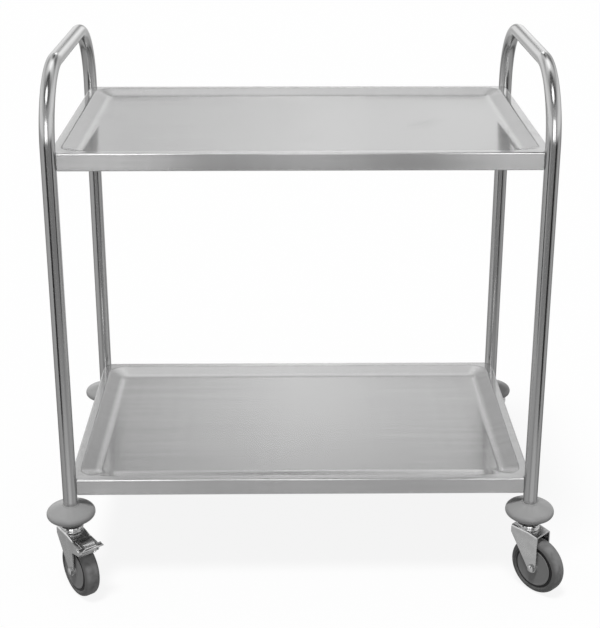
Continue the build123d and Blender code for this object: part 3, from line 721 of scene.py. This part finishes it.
def run_tree(obj, tree, **values):
    """Runs a tree on an object, with inputs set by their identifiers, and keeps the result as its mesh."""
    modifier = obj.modifiers.new(tree.name, "NODES")
    modifier.node_group = tree
    for socket in tree.interface.items_tree:
        label = socket.name.replace(" ", "_")
        if socket.in_out == "INPUT" and label in values:
            modifier[socket.identifier] = values[label]
    return settle(obj)


bent_tube, given, result = shape_tree("bent tube", Tube_radius="Float", Bend_radius="Float",
                                      Finish="Material")
path = add(bent_tube, "GeometryNodeMeshToCurve")
bend = add(bent_tube, "GeometryNodeFilletCurve", {"Count": 40}, mode="POLY")
length = add(bent_tube, "GeometryNodeCaptureAttribute", domain="POINT")
length.capture_items.new("FLOAT", "Length")
ring = add(bent_tube, "GeometryNodeCurvePrimitiveCircle", {"Resolution": 64}, mode="RADIUS")
around = add(bent_tube, "GeometryNodeCaptureAttribute", domain="POINT")
around.capture_items.new("VECTOR", "Around")
sweep = add(bent_tube, "GeometryNodeCurveToMesh", {"Fill Caps": True})
parts, place = add(bent_tube, "ShaderNodeSeparateXYZ"), add(bent_tube, "ShaderNodeCombineXYZ")
keep = add(bent_tube, "GeometryNodeStoreNamedAttribute", {"Name": "tube_map"}, data_type="FLOAT_VECTOR",
           domain="POINT")
smooth = add(bent_tube, "GeometryNodeSetShadeSmooth")
wire(bent_tube, (given["Geometry"], path.inputs[0]), (path.outputs[0], bend.inputs["Curve"]),
     (given["Bend radius"], bend.inputs["Radius"]), (bend.outputs[0], length.inputs[0]),
     (add(bent_tube, "GeometryNodeSplineParameter").outputs["Length"], length.inputs["Length"]),
     (given["Tube radius"], ring.inputs["Radius"]), (ring.outputs[0], around.inputs[0]),
     (add(bent_tube, "GeometryNodeInputPosition").outputs[0], around.inputs["Around"]),
     (length.outputs[0], sweep.inputs["Curve"]), (around.outputs[0], sweep.inputs["Profile Curve"]),
     (around.outputs["Around"], parts.inputs[0]), (length.outputs["Length"], place.inputs[0]),
     (parts.outputs[0], place.inputs[1]), (parts.outputs[1], place.inputs[2]),
     (sweep.outputs[0], keep.inputs[0]), (place.outputs[0], keep.inputs["Value"]),
     (keep.outputs[0], smooth.inputs[0]))
end_tree(bent_tube, smooth.outputs[0], given["Finish"], result)
print("tree", bent_tube.name, "nodes", len(bent_tube.nodes))

# %% [markdown]
# The path's points come from the solid's own box: the tube's radius is half its width, and the bend is
# the one of the solid.

# %% Side frames
HANDLE_BEND = 120 * MM
for hand in ("left", "right"):
    low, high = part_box(f"{hand}_side_frame")
    tube = (high.x - low.x) / 2
    x, y0, y1, top = (low.x + high.x) / 2, low.y + tube, high.y - tube, high.z - tube
    path = bpy.data.meshes.new(f"{hand}_tube")
    path.from_pydata([(x, y0, low.z), (x, y0, top), (x, y1, top), (x, y1, low.z)],
                     [(0, 1), (1, 2), (2, 3)], [])
    side = new_object(f"{hand}_tube", path)
    mesh = run_tree(side, bent_tube, Tube_radius=tube, Bend_radius=HANDLE_BEND, Finish=polished_tube)
    mesh.set_sharp_from_angle(angle=math.radians(50))
    fit_piece(side, "frame", "polished_tube", f"{hand}_side_frame")
    print(side.name, "radius", round(tube / MM, 2), "mm, faces", len(mesh.polygons))

# %% [markdown]
# ## Shelves
# A shelf is one sheet: a flat rim, a shallow slope down to the deck, a rolled front edge, a skirt and a
# lip turned under. It could be carved from a block, but a pressed sheet is easier to draw as rings:
# every ring goes once round the shelf, the outer ones notched round the legs and the inner ones with
# round corners. Joining ring to ring gives the top skin, and Solidify gives it its thickness. Each point
# also gets its place in the flat sheet.

# %% Rings of a shelf
CORNERS = [(1, -1), (1, 1), (-1, 1), (-1, -1)]
CORNER_STEPS = 10
NOTCH = 12.65 * MM


def notched_ring(half, inset):
    """A ring on the leg axes, notched round each leg, set in from the outer face."""
    radius = NOTCH + inset
    swing = math.asin(inset / radius)
    ring = []
    for corner, (sx, sy) in enumerate(CORNERS):
        for step in range(CORNER_STEPS + 1):
            share = step / CORNER_STEPS
            angle = math.pi - swing + corner * math.pi / 2 - share * (math.pi / 2 - 2 * swing)
            point = (sx * half[0] + radius * math.cos(angle), sy * half[1] + radius * math.sin(angle))
            ring.append((point, corner, share))
    return ring


def rounded_ring(half, inset, radius):
    """A ring with round corners, set in from the outer face."""
    ring = []
    for corner, (sx, sy) in enumerate(CORNERS):
        x, y = sx * (half[0] - inset - radius), sy * (half[1] - inset - radius)
        for step in range(CORNER_STEPS + 1):
            share = step / CORNER_STEPS
            angle = math.pi / 2 * (corner - 1 + share)
            ring.append(((x + radius * math.cos(angle), y + radius * math.sin(angle)), corner, share))
    return ring


def unfolded(point, corner, share, drop):
    """Where a point lies in the flat sheet, when the skirt is folded up level."""
    sx, sy = CORNERS[corner]
    along_x = share if corner % 2 == 0 else 1 - share
    return (point[0] + sx * drop * along_x, point[1] + sy * drop * (1 - along_x))


print("points in a ring", len(CORNERS) * (CORNER_STEPS + 1))

# %% [markdown]
# The rings are listed from the lip under the skirt, up the skirt, over the rolled edge and down to the
# deck. The slope starts with a tight roll and ends in a wide blend, because sheet steel never turns a
# sharp corner. Each ring also carries painted light and shade for the tone: the rim and rolled edge are
# painted lighter as a painted highlight, the slope is painted darker as painted shade, and the crease
# between them gets a thin dark line of painted shade.

# %% Section of a shelf
EDGE_ROLL, FOLD, LIP = 2.5 * MM, 2 * MM, 11 * MM
RIM, SLOPE, BLEND = 15 * MM, 22 * MM, 15 * MM
SLOPE_DROP, DECK_DEPTH = 7.5 * MM, 10 * MM
MOUTH_CORNER, DECK_CORNER, CORNER_FALL = 28 * MM, 9 * MM, 0.43
MOUTH_ROLL, MOUTH_EASE, FOOT_LEAD = 1.6 * MM, 0.4 * MM, 1.5 * MM
FOLD_STEPS, ROLL_STEPS, BLEND_STEPS = 4, 6, 8
# Painted tones: a painted highlight on the rim, painted shade on the slope, and painted shade in the crease.
PAINTED_RIM_HIGHLIGHT, PAINTED_SLOPE_SHADE, PAINTED_CREASE_SHADE = -1.4, 1.2, 2.4


def shelf_rings(half, rim, skirt):
    """Rings, each with its height, how far it unfolds beyond the rim, and its painted light and shade."""
    low, steep = rim - skirt, SLOPE_DROP / SLOPE
    rings = [(notched_ring(half, LIP), low, skirt + LIP, 0)]
    for step in range(FOLD_STEPS + 1):
        share = step / FOLD_STEPS
        a = math.pi / 2 * share
        rings.append((notched_ring(half, FOLD * (1 - math.sin(a))), low + FOLD * (1 - math.cos(a)),
                      skirt - FOLD * share, 0))
    for step in range(ROLL_STEPS + 1):
        share = step / ROLL_STEPS
        a = math.pi / 2 * share
        rings.append((notched_ring(half, EDGE_ROLL * (1 - math.cos(a))), rim - EDGE_ROLL * (1 - math.sin(a)),
                      EDGE_ROLL * (1 - share), PAINTED_RIM_HIGHLIGHT * share))
    for share in (-1, -0.5, 0, 0.5, 1):
        run, down = MOUTH_ROLL * share, max(0, MOUTH_ROLL * share)
        fall = (down + MOUTH_EASE * (1 - abs(share))) * steep
        painted_tone = PAINTED_CREASE_SHADE * (1 - abs(share)) + (PAINTED_RIM_HIGHLIGHT if share < 0 else PAINTED_SLOPE_SHADE) * abs(share)
        corner = MOUTH_CORNER - down * CORNER_FALL
        rings.append((rounded_ring(half, RIM + run, corner), rim - fall, 0, painted_tone))
    foot = SLOPE - FOOT_LEAD
    drop = foot * steep
    corner = MOUTH_CORNER - foot * CORNER_FALL
    rings.append((rounded_ring(half, RIM + foot, corner), rim - drop, 0, PAINTED_SLOPE_SHADE))
    reach, rest = BLEND + FOOT_LEAD, DECK_DEPTH - drop
    rate = steep * reach
    for step in range(1, BLEND_STEPS + 1):
        t = step / BLEND_STEPS
        run = foot + reach * t
        fall = drop + rate * t + (3 * rest - 2 * rate) * t ** 2 + (rate - 2 * rest) * t ** 3
        corner = MOUTH_CORNER + (DECK_CORNER - MOUTH_CORNER) * run / (SLOPE + BLEND)
        rings.append((rounded_ring(half, RIM + run, corner), rim - fall, 0, PAINTED_SLOPE_SHADE * (1 - t)))
    return rings


def shelf_skin(name, rings):
    """Joins the rings, closes the deck and stores the flat pattern and the painted light and shade."""
    shape = bmesh.new()
    flat = shape.loops.layers.uv.new("flat")
    painted_light = shape.verts.layers.float.new("painted_light")
    places = {}
    rows = []
    for ring, height, drop, painted_tone in rings:
        row = []
        for point, corner, share in ring:
            vert = shape.verts.new((*point, height))
            vert[painted_light] = painted_tone
            places[vert] = unfolded(point, corner, share, drop)
            row.append(vert)
        rows.append(row)
    for outer_row, inner_row in zip(rows, rows[1:]):
        bridge(shape, outer_row, inner_row)
    shape.faces.new(rows[-1])
    for face in shape.faces:
        for loop in face.loops:
            loop[flat].uv = places[loop.vert]
    return to_mesh(shape, name)


print("rings in a shelf", len(shelf_rings((0.4, 0.24), 0.8, 0.03)))

# %% [markdown]
# Each shelf takes its size from its solid's box. The sheet is 1 mm thick, and grows inwards from the
# outer skin.

# %% Shelves
SHEET = 1 * MM
for tier in ("upper", "lower"):
    low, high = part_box(f"{tier}_shelf")
    half = ((high.x - low.x) / 2, (high.y - low.y) / 2)
    mesh = shelf_skin(f"{tier}_shelf_sheet", shelf_rings(half, high.z, high.z - low.z))
    shade(mesh, brushed_sheet)
    shelf = new_object(f"{tier}_shelf_sheet", mesh)
    wall = shelf.modifiers.new("sheet", "SOLIDIFY")
    wall.thickness = SHEET
    wall.offset = -1
    level_faces(shelf)
    settle(shelf)
    fit_piece(shelf, "frame", "brushed_sheet", f"{tier}_shelf")
    print(shelf.name, "faces", len(shelf.data.polygons))

# %% [markdown]
# ## Under the shelves
# Two hat channels stiffen each deck from below, and a curved saddle sits behind every notch. They are
# plain pressings whose solids are right, so a copy with joined triangles and rounded edges is enough.
# The channels are folded from the shelves' brushed sheet. They get the same "flat" map, from how far
# along and across a point lies, and so the lines run along them.

# %% Stiffeners and saddles
def lay_flat(mesh):
    """Stores how far along the trolley and across the channel each point lies."""
    flat = mesh.uv_layers.new(name="flat")
    for loop in mesh.loops:
        x, y, z = mesh.vertices[loop.vertex_index].co
        flat.data[loop.index].uv = (x, y + z)


for tier in ("upper", "lower"):
    channels = soft_copy(f"{tier}_stiffeners_pressed", f"{tier}_stiffeners", brushed_sheet, 0.35 * MM,
                         segments=2)
    lay_flat(channels.data)
    fit_piece(channels, "frame", "brushed_sheet", f"{tier}_stiffeners")
    saddles = soft_copy(f"{tier}_saddles_pressed", f"{tier}_saddles", zinc_plate, 0.35 * MM, segments=2)
    fit_piece(saddles, "frame", "zinc_steel", f"{tier}_saddles")
    print(channels.name, len(channels.data.polygons), saddles.name, len(saddles.data.polygons))

# %% [markdown]
# ## Hex heads
# A real hex head has its six corners turned off by a cone, which leaves an arc on every flat. The ring
# of points round the head therefore gets its height from its radius: the further out a point lies, the
# lower the cone cuts.

# %% Hex head mesh
HEX_STEPS = 48
HEX_TOP, HEX_CONE = 0.97, 0.6


def hex_head(width, height, shank=0.0, reach=0.0, hole=0.0, dome=0.0):
    """A hex head from Z = 0 up, with a shank below or a hole through it; a dome takes the second finish."""
    flat, brim = width / 2, height - dome
    top = flat * HEX_TOP
    shape = bmesh.new()
    foot, side = [], []
    for step in range(HEX_STEPS):
        angle = 2 * math.pi * step / HEX_STEPS
        off = (angle + math.pi / 6) % (math.pi / 3) - math.pi / 6
        radius = flat / math.cos(off)
        x, y = radius * math.cos(angle), radius * math.sin(angle)
        foot.append(shape.verts.new((x, y, 0)))
        side.append(shape.verts.new((x, y, brim - (radius - top) * HEX_CONE)))
    crown = ring_of(shape, top, brim, HEX_STEPS)
    ends = ((hole, height), (hole, 0)) if hole else ((shank, -reach), (shank, 0))
    far_end, near_end = (ring_of(shape, radius, z, HEX_STEPS) for radius, z in ends)
    for first, second in ((foot, side), (side, crown), (far_end, near_end), (near_end, foot)):
        bridge(shape, first, second)
    if hole:
        bridge(shape, crown, far_end)
    else:
        for share in (0.8, 0.6, 0.4, 0.2) if dome else ():
            ring = ring_of(shape, top * share, brim + dome * (1 - share ** 2), HEX_STEPS)
            for face in bridge(shape, crown, ring):
                face.material_index = 1
            crown = ring
        shape.faces.new(crown).material_index = 1 if dome else 0
        shape.faces.new(far_end)
    bmesh.ops.recalc_face_normals(shape, faces=shape.faces)
    return to_mesh(shape, "hex_head")


shelf_bolt = hex_head(10 * MM, 4 * MM, 3 * MM, 13.8 * MM)
print("shelf bolt faces", len(shelf_bolt.polygons))

# %% [markdown]
# ## Copies at points
# Bolts, bumper ribs and bearing balls repeat. Geometry Nodes put a copy of one mesh at every point of
# another, and turn each copy by the point's own "turn" attribute. The copies are realised, so that they
# become plain mesh.

# %% Copy tree
copies, given, result = shape_tree("copies at points", Piece="Object", Size="Float", Finish="Material")
piece = add(copies, "GeometryNodeObjectInfo", transform_space="ORIGINAL")
turn = add(copies, "GeometryNodeInputNamedAttribute", {"Name": "turn"}, data_type="FLOAT_VECTOR")
angle = add(copies, "FunctionNodeEulerToRotation")
copy = add(copies, "GeometryNodeInstanceOnPoints")
wire(copies, (given["Piece"], piece.inputs[0]), (turn.outputs[0], angle.inputs[0]),
     (given["Geometry"], copy.inputs["Points"]), (piece.outputs["Geometry"], copy.inputs["Instance"]),
     (angle.outputs[0], copy.inputs["Rotation"]), (given["Size"], copy.inputs["Scale"]))
end_tree(copies, copy.outputs[0], given["Finish"], result)


def repeat(name, mesh, places, finish):
    """One mesh object with a copy of the mesh at each place, a matrix."""
    pattern = new_object("pattern", mesh)
    points = bpy.data.meshes.new(name)
    points.from_pydata([place.to_translation() for place in places], [], [])
    turns = points.attributes.new("turn", "FLOAT_VECTOR", "POINT")
    for index, place in enumerate(places):
        turns.data[index].vector = place.to_euler()
    obj = new_object(name, points)
    run_tree(obj, copies, Piece=pattern, Size=1.0, Finish=finish)
    bpy.data.objects.remove(pattern)
    return obj


def spokes(count):
    """Turns about Z, evenly round a circle."""
    return [Matrix.Rotation(2 * math.pi * step / count, 4, "Z") for step in range(count)]


print("tree", copies.name, "nodes", len(copies.nodes))

# %% [markdown]
# ## Shelf bolts
# One bolt behind each corner points from inside the skirt at the leg's axis. Its washer is hollowed to
# sit on the saddle, a shape that the solid already has.

# %% Shelf bolts and washers
BOLT_SEAT = 17.3 * MM
bolt_places = []
for tier in ("upper", "lower"):
    low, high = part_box(f"{tier}_shelf")
    for sx, sy in CORNERS:
        inward = Vector((-sx, -sy, 0)).normalized()
        seat = Vector((sx * high.x, sy * high.y, (low.z + high.z) / 2)) + inward * BOLT_SEAT
        bolt_places.append(Matrix.Translation(seat) @ inward.to_track_quat("Z", "Y").to_matrix().to_4x4())
bolts = repeat("shelf_hex_bolts", shelf_bolt, bolt_places, bright_zinc)
soften(bolts, 0.2 * MM, segments=2)
fit_piece(bolts, "frame", "zinc_steel", "shelf_bolts")
washers = soft_copy("hollow_washers", "shelf_washers", bright_zinc, 0.15 * MM, segments=2)
fit_piece(washers, "frame", "zinc_steel", "shelf_washers")
print("bolts", len(bolt_places), "faces", len(bolts.data.polygons))

# %% [markdown]
# ## Where the castors stand
# The joints say it all: the swivel's axis is the leg, the spin's axis is the axle, and the line from one
# to the other is the way the wheel trails. Each castor gets a matrix, and its pieces are made once in
# castor coordinates.

# %% Castor places
HALF_TURN = Matrix.Rotation(math.pi, 4, "X")
castors = {}
joints = {joint["name"]: joint for joint in frame["joints"]}
for label, joint in joints.items():
    if label.startswith("swivel_"):
        corner = label[len("swivel_"):]
        leg, axle = Vector(joint["pos_m"]), Vector(joints[f"spin_{corner}"]["pos_m"])
        heading = math.atan2(axle.y - leg.y, axle.x - leg.x)
        stand = Matrix.Translation((leg.x, leg.y, 0)) @ Matrix.Rotation(heading, 4, "Z")
        trail = math.hypot(axle.x - leg.x, axle.y - leg.y)
        wheel = stand @ Matrix.Translation((trail, 0, axle.z)) @ Matrix.Rotation(-math.pi / 2, 4, "X")
        castors[corner] = {"stand": stand, "wheel": wheel, "brake": f"brake_{corner}" in joints}
        print(corner, "heading", round(math.degrees(heading), 1), "brake", castors[corner]["brake"])


def placed(mesh, matrix):
    """A copy of a mesh in its place."""
    made = mesh.copy()
    made.transform(matrix)
    return made


# %% [markdown]
# ## Bumpers
# A bumper is a round moulding: a low cone that runs out into a soft nose, hollow below, with six ribs.
# The round body comes off the lathe, and the ribs are copies at points in a circle. The nose is where it
# rubs along walls.

# %% Bumper
low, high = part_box("bumper_front_left")
base = low.z
NOSE, RING, BORE, SLEEVE, STEM_HOLE = 8 * MM, 34.5 * MM, 12.55 * MM, 15.55 * MM, 6.3 * MM
SEAT, HOLLOW, EASE = 4 * MM, 13 * MM, 0.6 * MM
CONE, NOSE_STEPS = math.radians(20), 14
LIP_TOP = [(0, 0.2), (0.3, 0), (1.1, 0.15), (1.8, 0.75)]
CONE_TOP = [(2.2, 0.2), (3.6, 0.85), (8, 2.3)]
cone_run = RING + NOSE * math.sin(CONE) - BORE - 1.5 * MM
shoulder = base + NOSE + NOSE * math.cos(CONE) + cone_run * math.tan(CONE)
outline = [(STEM_HOLE, base), (STEM_HOLE, base + SEAT), (BORE, base + SEAT)]
for top, points in ((high.z, LIP_TOP), (shoulder, CONE_TOP)):
    outline += [(BORE + out * MM, top - down * MM) for out, down in points]
for step in range(NOSE_STEPS + 1):
    a = math.pi / 2 - CONE - step * (math.pi - CONE) / NOSE_STEPS
    outline.append((RING + NOSE * math.cos(a), base + NOSE + NOSE * math.sin(a)))
outline += [(RING - 2 * EASE, base + EASE), (RING - 2 * EASE, base + NOSE), (RING - NOSE, base + HOLLOW),
            (SLEEVE, base + HOLLOW), (SLEEVE, base + EASE), (SLEEVE - 0.5 * MM, base)]
bumper_mesh = lathe(outline, 96, rubbed_from(outline, RING + 4 * MM, 3.5 * MM))

rib_place, rib_size = Vector((25 * MM, 0, base + 7 * MM)), Vector((20.5 * MM, 2 * MM, 13 * MM))
rib_box = Matrix.LocRotScale(rib_place, None, rib_size)
rib = primitive("bumper_rib", bmesh.ops.create_cube, size=1, matrix=rib_box)
ribs = repeat("ribs", rib, spokes(6), bumper_plastic)
merge(bumper_mesh, ribs.data)
bpy.data.objects.remove(ribs)
print("bumper outline points", len(outline), "faces", len(bumper_mesh.polygons))

# %% [markdown]
# One mesh serves all four legs. Each copy is moved by its castor's matrix, so that its place is in its
# mesh, but it rides on the frame, because a bumper doesn't swivel.

# %% Bumpers in place
for corner, castor in castors.items():
    mesh = placed(bumper_mesh, castor["stand"])
    shade(mesh, bumper_plastic, 40)
    bumper = new_object(f"bumper_moulding_{corner}", mesh)
    fit_piece(bumper, "frame", "bumper_plastic", f"bumper_{corner}")
print("bumpers", len(castors))

# %% [markdown]
# ## Stems, heads and forks
# The castor's fixed stem and head carry the fork on a ring of balls. The head is turned and bright; the
# fork is pressed from one sheet, and its rounded edges catch the light as bright lines. A rolled bead
# runs round the foot of its ball race; it is turned on the lathe and joined to the fork's mesh.

# %% Stems, heads and forks
stems = soft_copy("castor_stem_set", "castor_stems", bright_zinc, 0.4 * MM)
fit_piece(stems, "frame", "zinc_steel", "castor_stems")
low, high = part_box("castor_head_front_left")
track, edge = high.z - 7 * MM, (high.x - low.x) / 2
head_outline = [(6.05 * MM, track + 2.2 * MM), (10.9 * MM, track + 1.6 * MM), (16.1 * MM, track + 1.6 * MM),
                (16.6 * MM, track), (edge - 1.8 * MM, track), (edge - 1.3 * MM, low.z),
                (edge - 0.3 * MM, low.z), (edge, track), (edge - 0.6 * MM, track + 2.2 * MM),
                (edge - 2.4 * MM, track + 3 * MM), (10.8 * MM, high.z), (6.05 * MM, high.z)]
head_mesh = lathe(round_corners(head_outline, 0.9 * MM))
BEAD_RING, BEAD, BEAD_STEPS = 18.2 * MM, 1.3 * MM, 12
bead_level = joints["swivel_front_left"]["pos_m"][2] + 0.4 * MM
bead_turns = [2 * math.pi * step / BEAD_STEPS for step in range(BEAD_STEPS)]
bead_mesh = lathe([(BEAD_RING + BEAD * math.cos(a), bead_level + BEAD * math.sin(a)) for a in bead_turns])
bead_mesh.shade_smooth()
for corner, castor in castors.items():
    mesh = placed(head_mesh, castor["stand"])
    shade(mesh, bright_zinc, 50)
    head = fit_piece(new_object(f"ball_head_{corner}", mesh), "frame", "zinc_steel", f"castor_head_{corner}")
    fork = soft_copy(f"pressed_fork_{corner}", f"fork_{corner}", zinc_plate, 0.7 * MM)
    merge(fork.data, placed(bead_mesh, castor["stand"]))
    fit_piece(fork, f"castor_{corner}", "zinc_steel", f"fork_{corner}")
    print(head.name, len(mesh.polygons), fork.name, len(fork.data.polygons))

# %% [markdown]
# ## Bearing balls
# Ten balls run between head and fork. They are copies at points on a circle, one object for each castor.

# %% Bearing balls
BALL, BALL_RING, BALLS = 2.5 * MM, 13.5 * MM, 10
ball = primitive("ball", bmesh.ops.create_icosphere, subdivisions=2, radius=BALL)
low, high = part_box("bearing_balls_front_left")
ball_place = Matrix.Translation((BALL_RING, 0, (low.z + high.z) / 2))
for corner, castor in castors.items():
    ring = [castor["stand"] @ spoke @ ball_place for spoke in spokes(BALLS)]
    balls = repeat(f"ball_ring_{corner}", ball, ring, bright_zinc)
    balls.data.shade_smooth()
    fit_piece(balls, f"castor_{corner}", "zinc_steel", f"bearing_balls_{corner}")
print("balls in each castor", BALLS)

# %% [markdown]
# ## Axles
# A hex bolt goes through both fork plates and the wheel, with a hex nut at its end. Both are the
# chamfered hex head from above. The photograph shows a bright spot on each head inside a darker ring, so
# the head is domed. The dome takes the bright zinc as a painted highlight, and the flanks and the nut take
# a dark steel as painted shade. The sleeve on the bolt is hidden in the hub, so its solid stays and only
# takes a finish.

# %% Axle bolts and nuts
FORK_FACE = 19 * MM
axle_bolt = hex_head(13 * MM, 5 * MM, 4 * MM, 45.5 * MM, dome=1.6 * MM)
# The flanks and the nut are painted dark as painted shade, and the dome is painted bright as a painted
# highlight.
axle_bolt.materials.append(turned_steel)
axle_bolt.materials.append(bright_zinc)
axle_nut = hex_head(13 * MM, 6.5 * MM, hole=4.05 * MM)
axle_nut.materials.append(turned_steel)
nut_seat = Matrix.Translation((0, 0, FORK_FACE))
bolt_seat = HALF_TURN @ nut_seat
for corner, castor in castors.items():
    for label, mesh, seat in (("axle_bolt", axle_bolt, bolt_seat), ("axle_nut", axle_nut, nut_seat)):
        obj = new_object(f"hex_{label}_{corner}", placed(mesh, castor["wheel"] @ seat))
        soften(obj, 0.3 * MM, segments=2)
        fit_piece(obj, f"castor_{corner}", "zinc_steel", f"{label}_{corner}")
print("axle faces", len(axle_bolt.polygons), len(axle_nut.polygons))

# %% [markdown]
# ## Wheels
# A wheel has a black core, a rubber tyre and a grey disc at each side that keeps threads off the hub.
# All are round, so all come off the lathe. A dark gap stays between the disc's edge and the tyre. The
# tyre's tread is where the rubber rubs.

# %% Wheel meshes
CORE_SIDE = [(5.33, 12), (13, 12), (14.25, 3.5), (31.75, 3.5), (33, 12), (38, 12)]
GUARD_SIDE = [(5.3, 12.3), (32.8, 12.3), (34.2, 12.7), (34.2, 13.5), (32.9, 13.9), (31.5, 13.7),
              (30.4, 13.5), (12, 13.6), (10.2, 13.9), (9.2, 16.5), (5.3, 16.5)]
TYRE_BEAD = [(38.05, 10.8), (39.3, 11.3), (40.3, 12.5), (41, 14)]
TYRE_ROUND, TYRE_STEPS, TREAD_EDGE = 9, 8, (50, 0.5)


def in_mm(points):
    return [(radius * MM, height * MM) for radius, height in points]


def both_sides(side):
    """A closed outline from one side's points, mirrored to the other side."""
    return side + [(radius, -height) for radius, height in reversed(side)]


core_mesh = lathe(round_corners(in_mm(both_sides(CORE_SIDE)), 0.7 * MM), 96)
guard_mesh = lathe(round_corners(in_mm(GUARD_SIDE), 0.5 * MM), 96)
tyre_side = list(TYRE_BEAD)
ring, side = TREAD_EDGE[0] - TYRE_ROUND, TYRE_BEAD[-1][1] - TYRE_ROUND
for step in range(1, TYRE_STEPS + 1):
    a = math.pi / 2 * step / TYRE_STEPS
    tyre_side.append((ring + TYRE_ROUND * math.sin(a), side + TYRE_ROUND * math.cos(a)))
tyre_outline = in_mm(both_sides(tyre_side + [TREAD_EDGE]))
tyre_mesh = lathe(tyre_outline, 128, rubbed_from(tyre_outline, 45.5 * MM, 4 * MM))
print("wheel faces", [len(mesh.polygons) for mesh in (core_mesh, guard_mesh, tyre_mesh)])

# %% [markdown]
# The core and the tyre spin with the wheel, and the guards only turn with the castor. The second guard is
# the first one turned over, so that its faces still point outwards.

# %% Wheels in place
for corner, castor in castors.items():
    wheel = castor["wheel"]
    guards = merge(placed(guard_mesh, wheel), placed(guard_mesh, wheel @ HALF_TURN))
    for name, mesh, finish, body, slot, node in (
            ("hub_core", placed(core_mesh, wheel), core_plastic, "wheel", "core_plastic", "wheel_core"),
            ("rubber_tyre", placed(tyre_mesh, wheel), tyre_rubber, "wheel", "tyre_rubber", "tyre"),
            ("guard_discs", guards, guard_plastic, "castor", "guard_plastic", "thread_guards")):
        shade(mesh, finish, 50)
        fit_piece(new_object(f"{name}_{corner}", mesh), f"{body}_{corner}", slot, f"{node}_{corner}")
print("wheels", len(castors))

# %% [markdown]
# ## Brakes
# Two castors have a foot brake: a pressed pedal on a riveted pin, with a leaf spring behind it. Their
# solids are right, so they are softened copies. The pedal gets the roundest edges, as feet press it.

# %% Brakes
BRAKE_PIECES = [("pressed_pedal", "brake_pedal", "pedal", bright_zinc, 0.6 * MM),
                ("riveted_pin", "pedal_pin", "castor", bright_zinc, 0.5 * MM),
                ("leaf_spring", "brake_leaf", "castor", spring_steel, 0.2 * MM)]
for corner in [corner for corner, castor in castors.items() if castor["brake"]]:
    for name, node, body, finish, width in BRAKE_PIECES:
        pressed = soft_copy(f"{name}_{corner}", f"{node}_{corner}", finish, width)
        fit_piece(pressed, f"{body}_{corner}", "zinc_steel", f"{node}_{corner}")
        print(pressed.name, "faces", len(pressed.data.polygons))

# %% [markdown]
# ## Solids that stay
# The tube nuts, leg plugs and axle sleeves sit inside other pieces. Their solids stay as they are and
# only take the zinc finish.

# %% Finish the solids that stay
kept = [node for node, obj in frame["nodes"].items() if not obj.hide_render]
for node in kept:
    mesh = frame["nodes"][node].data
    for index in range(len(mesh.materials)):
        mesh.materials[index] = zinc_plate
print("solids that stay:", sorted(kept))

# %% [markdown]
# ## Sizes
# The dressed trolley has to stay within the solids' box, so the box of everything that renders is
# measured here.

# %% Measure the dressed trolley's box
low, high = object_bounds()
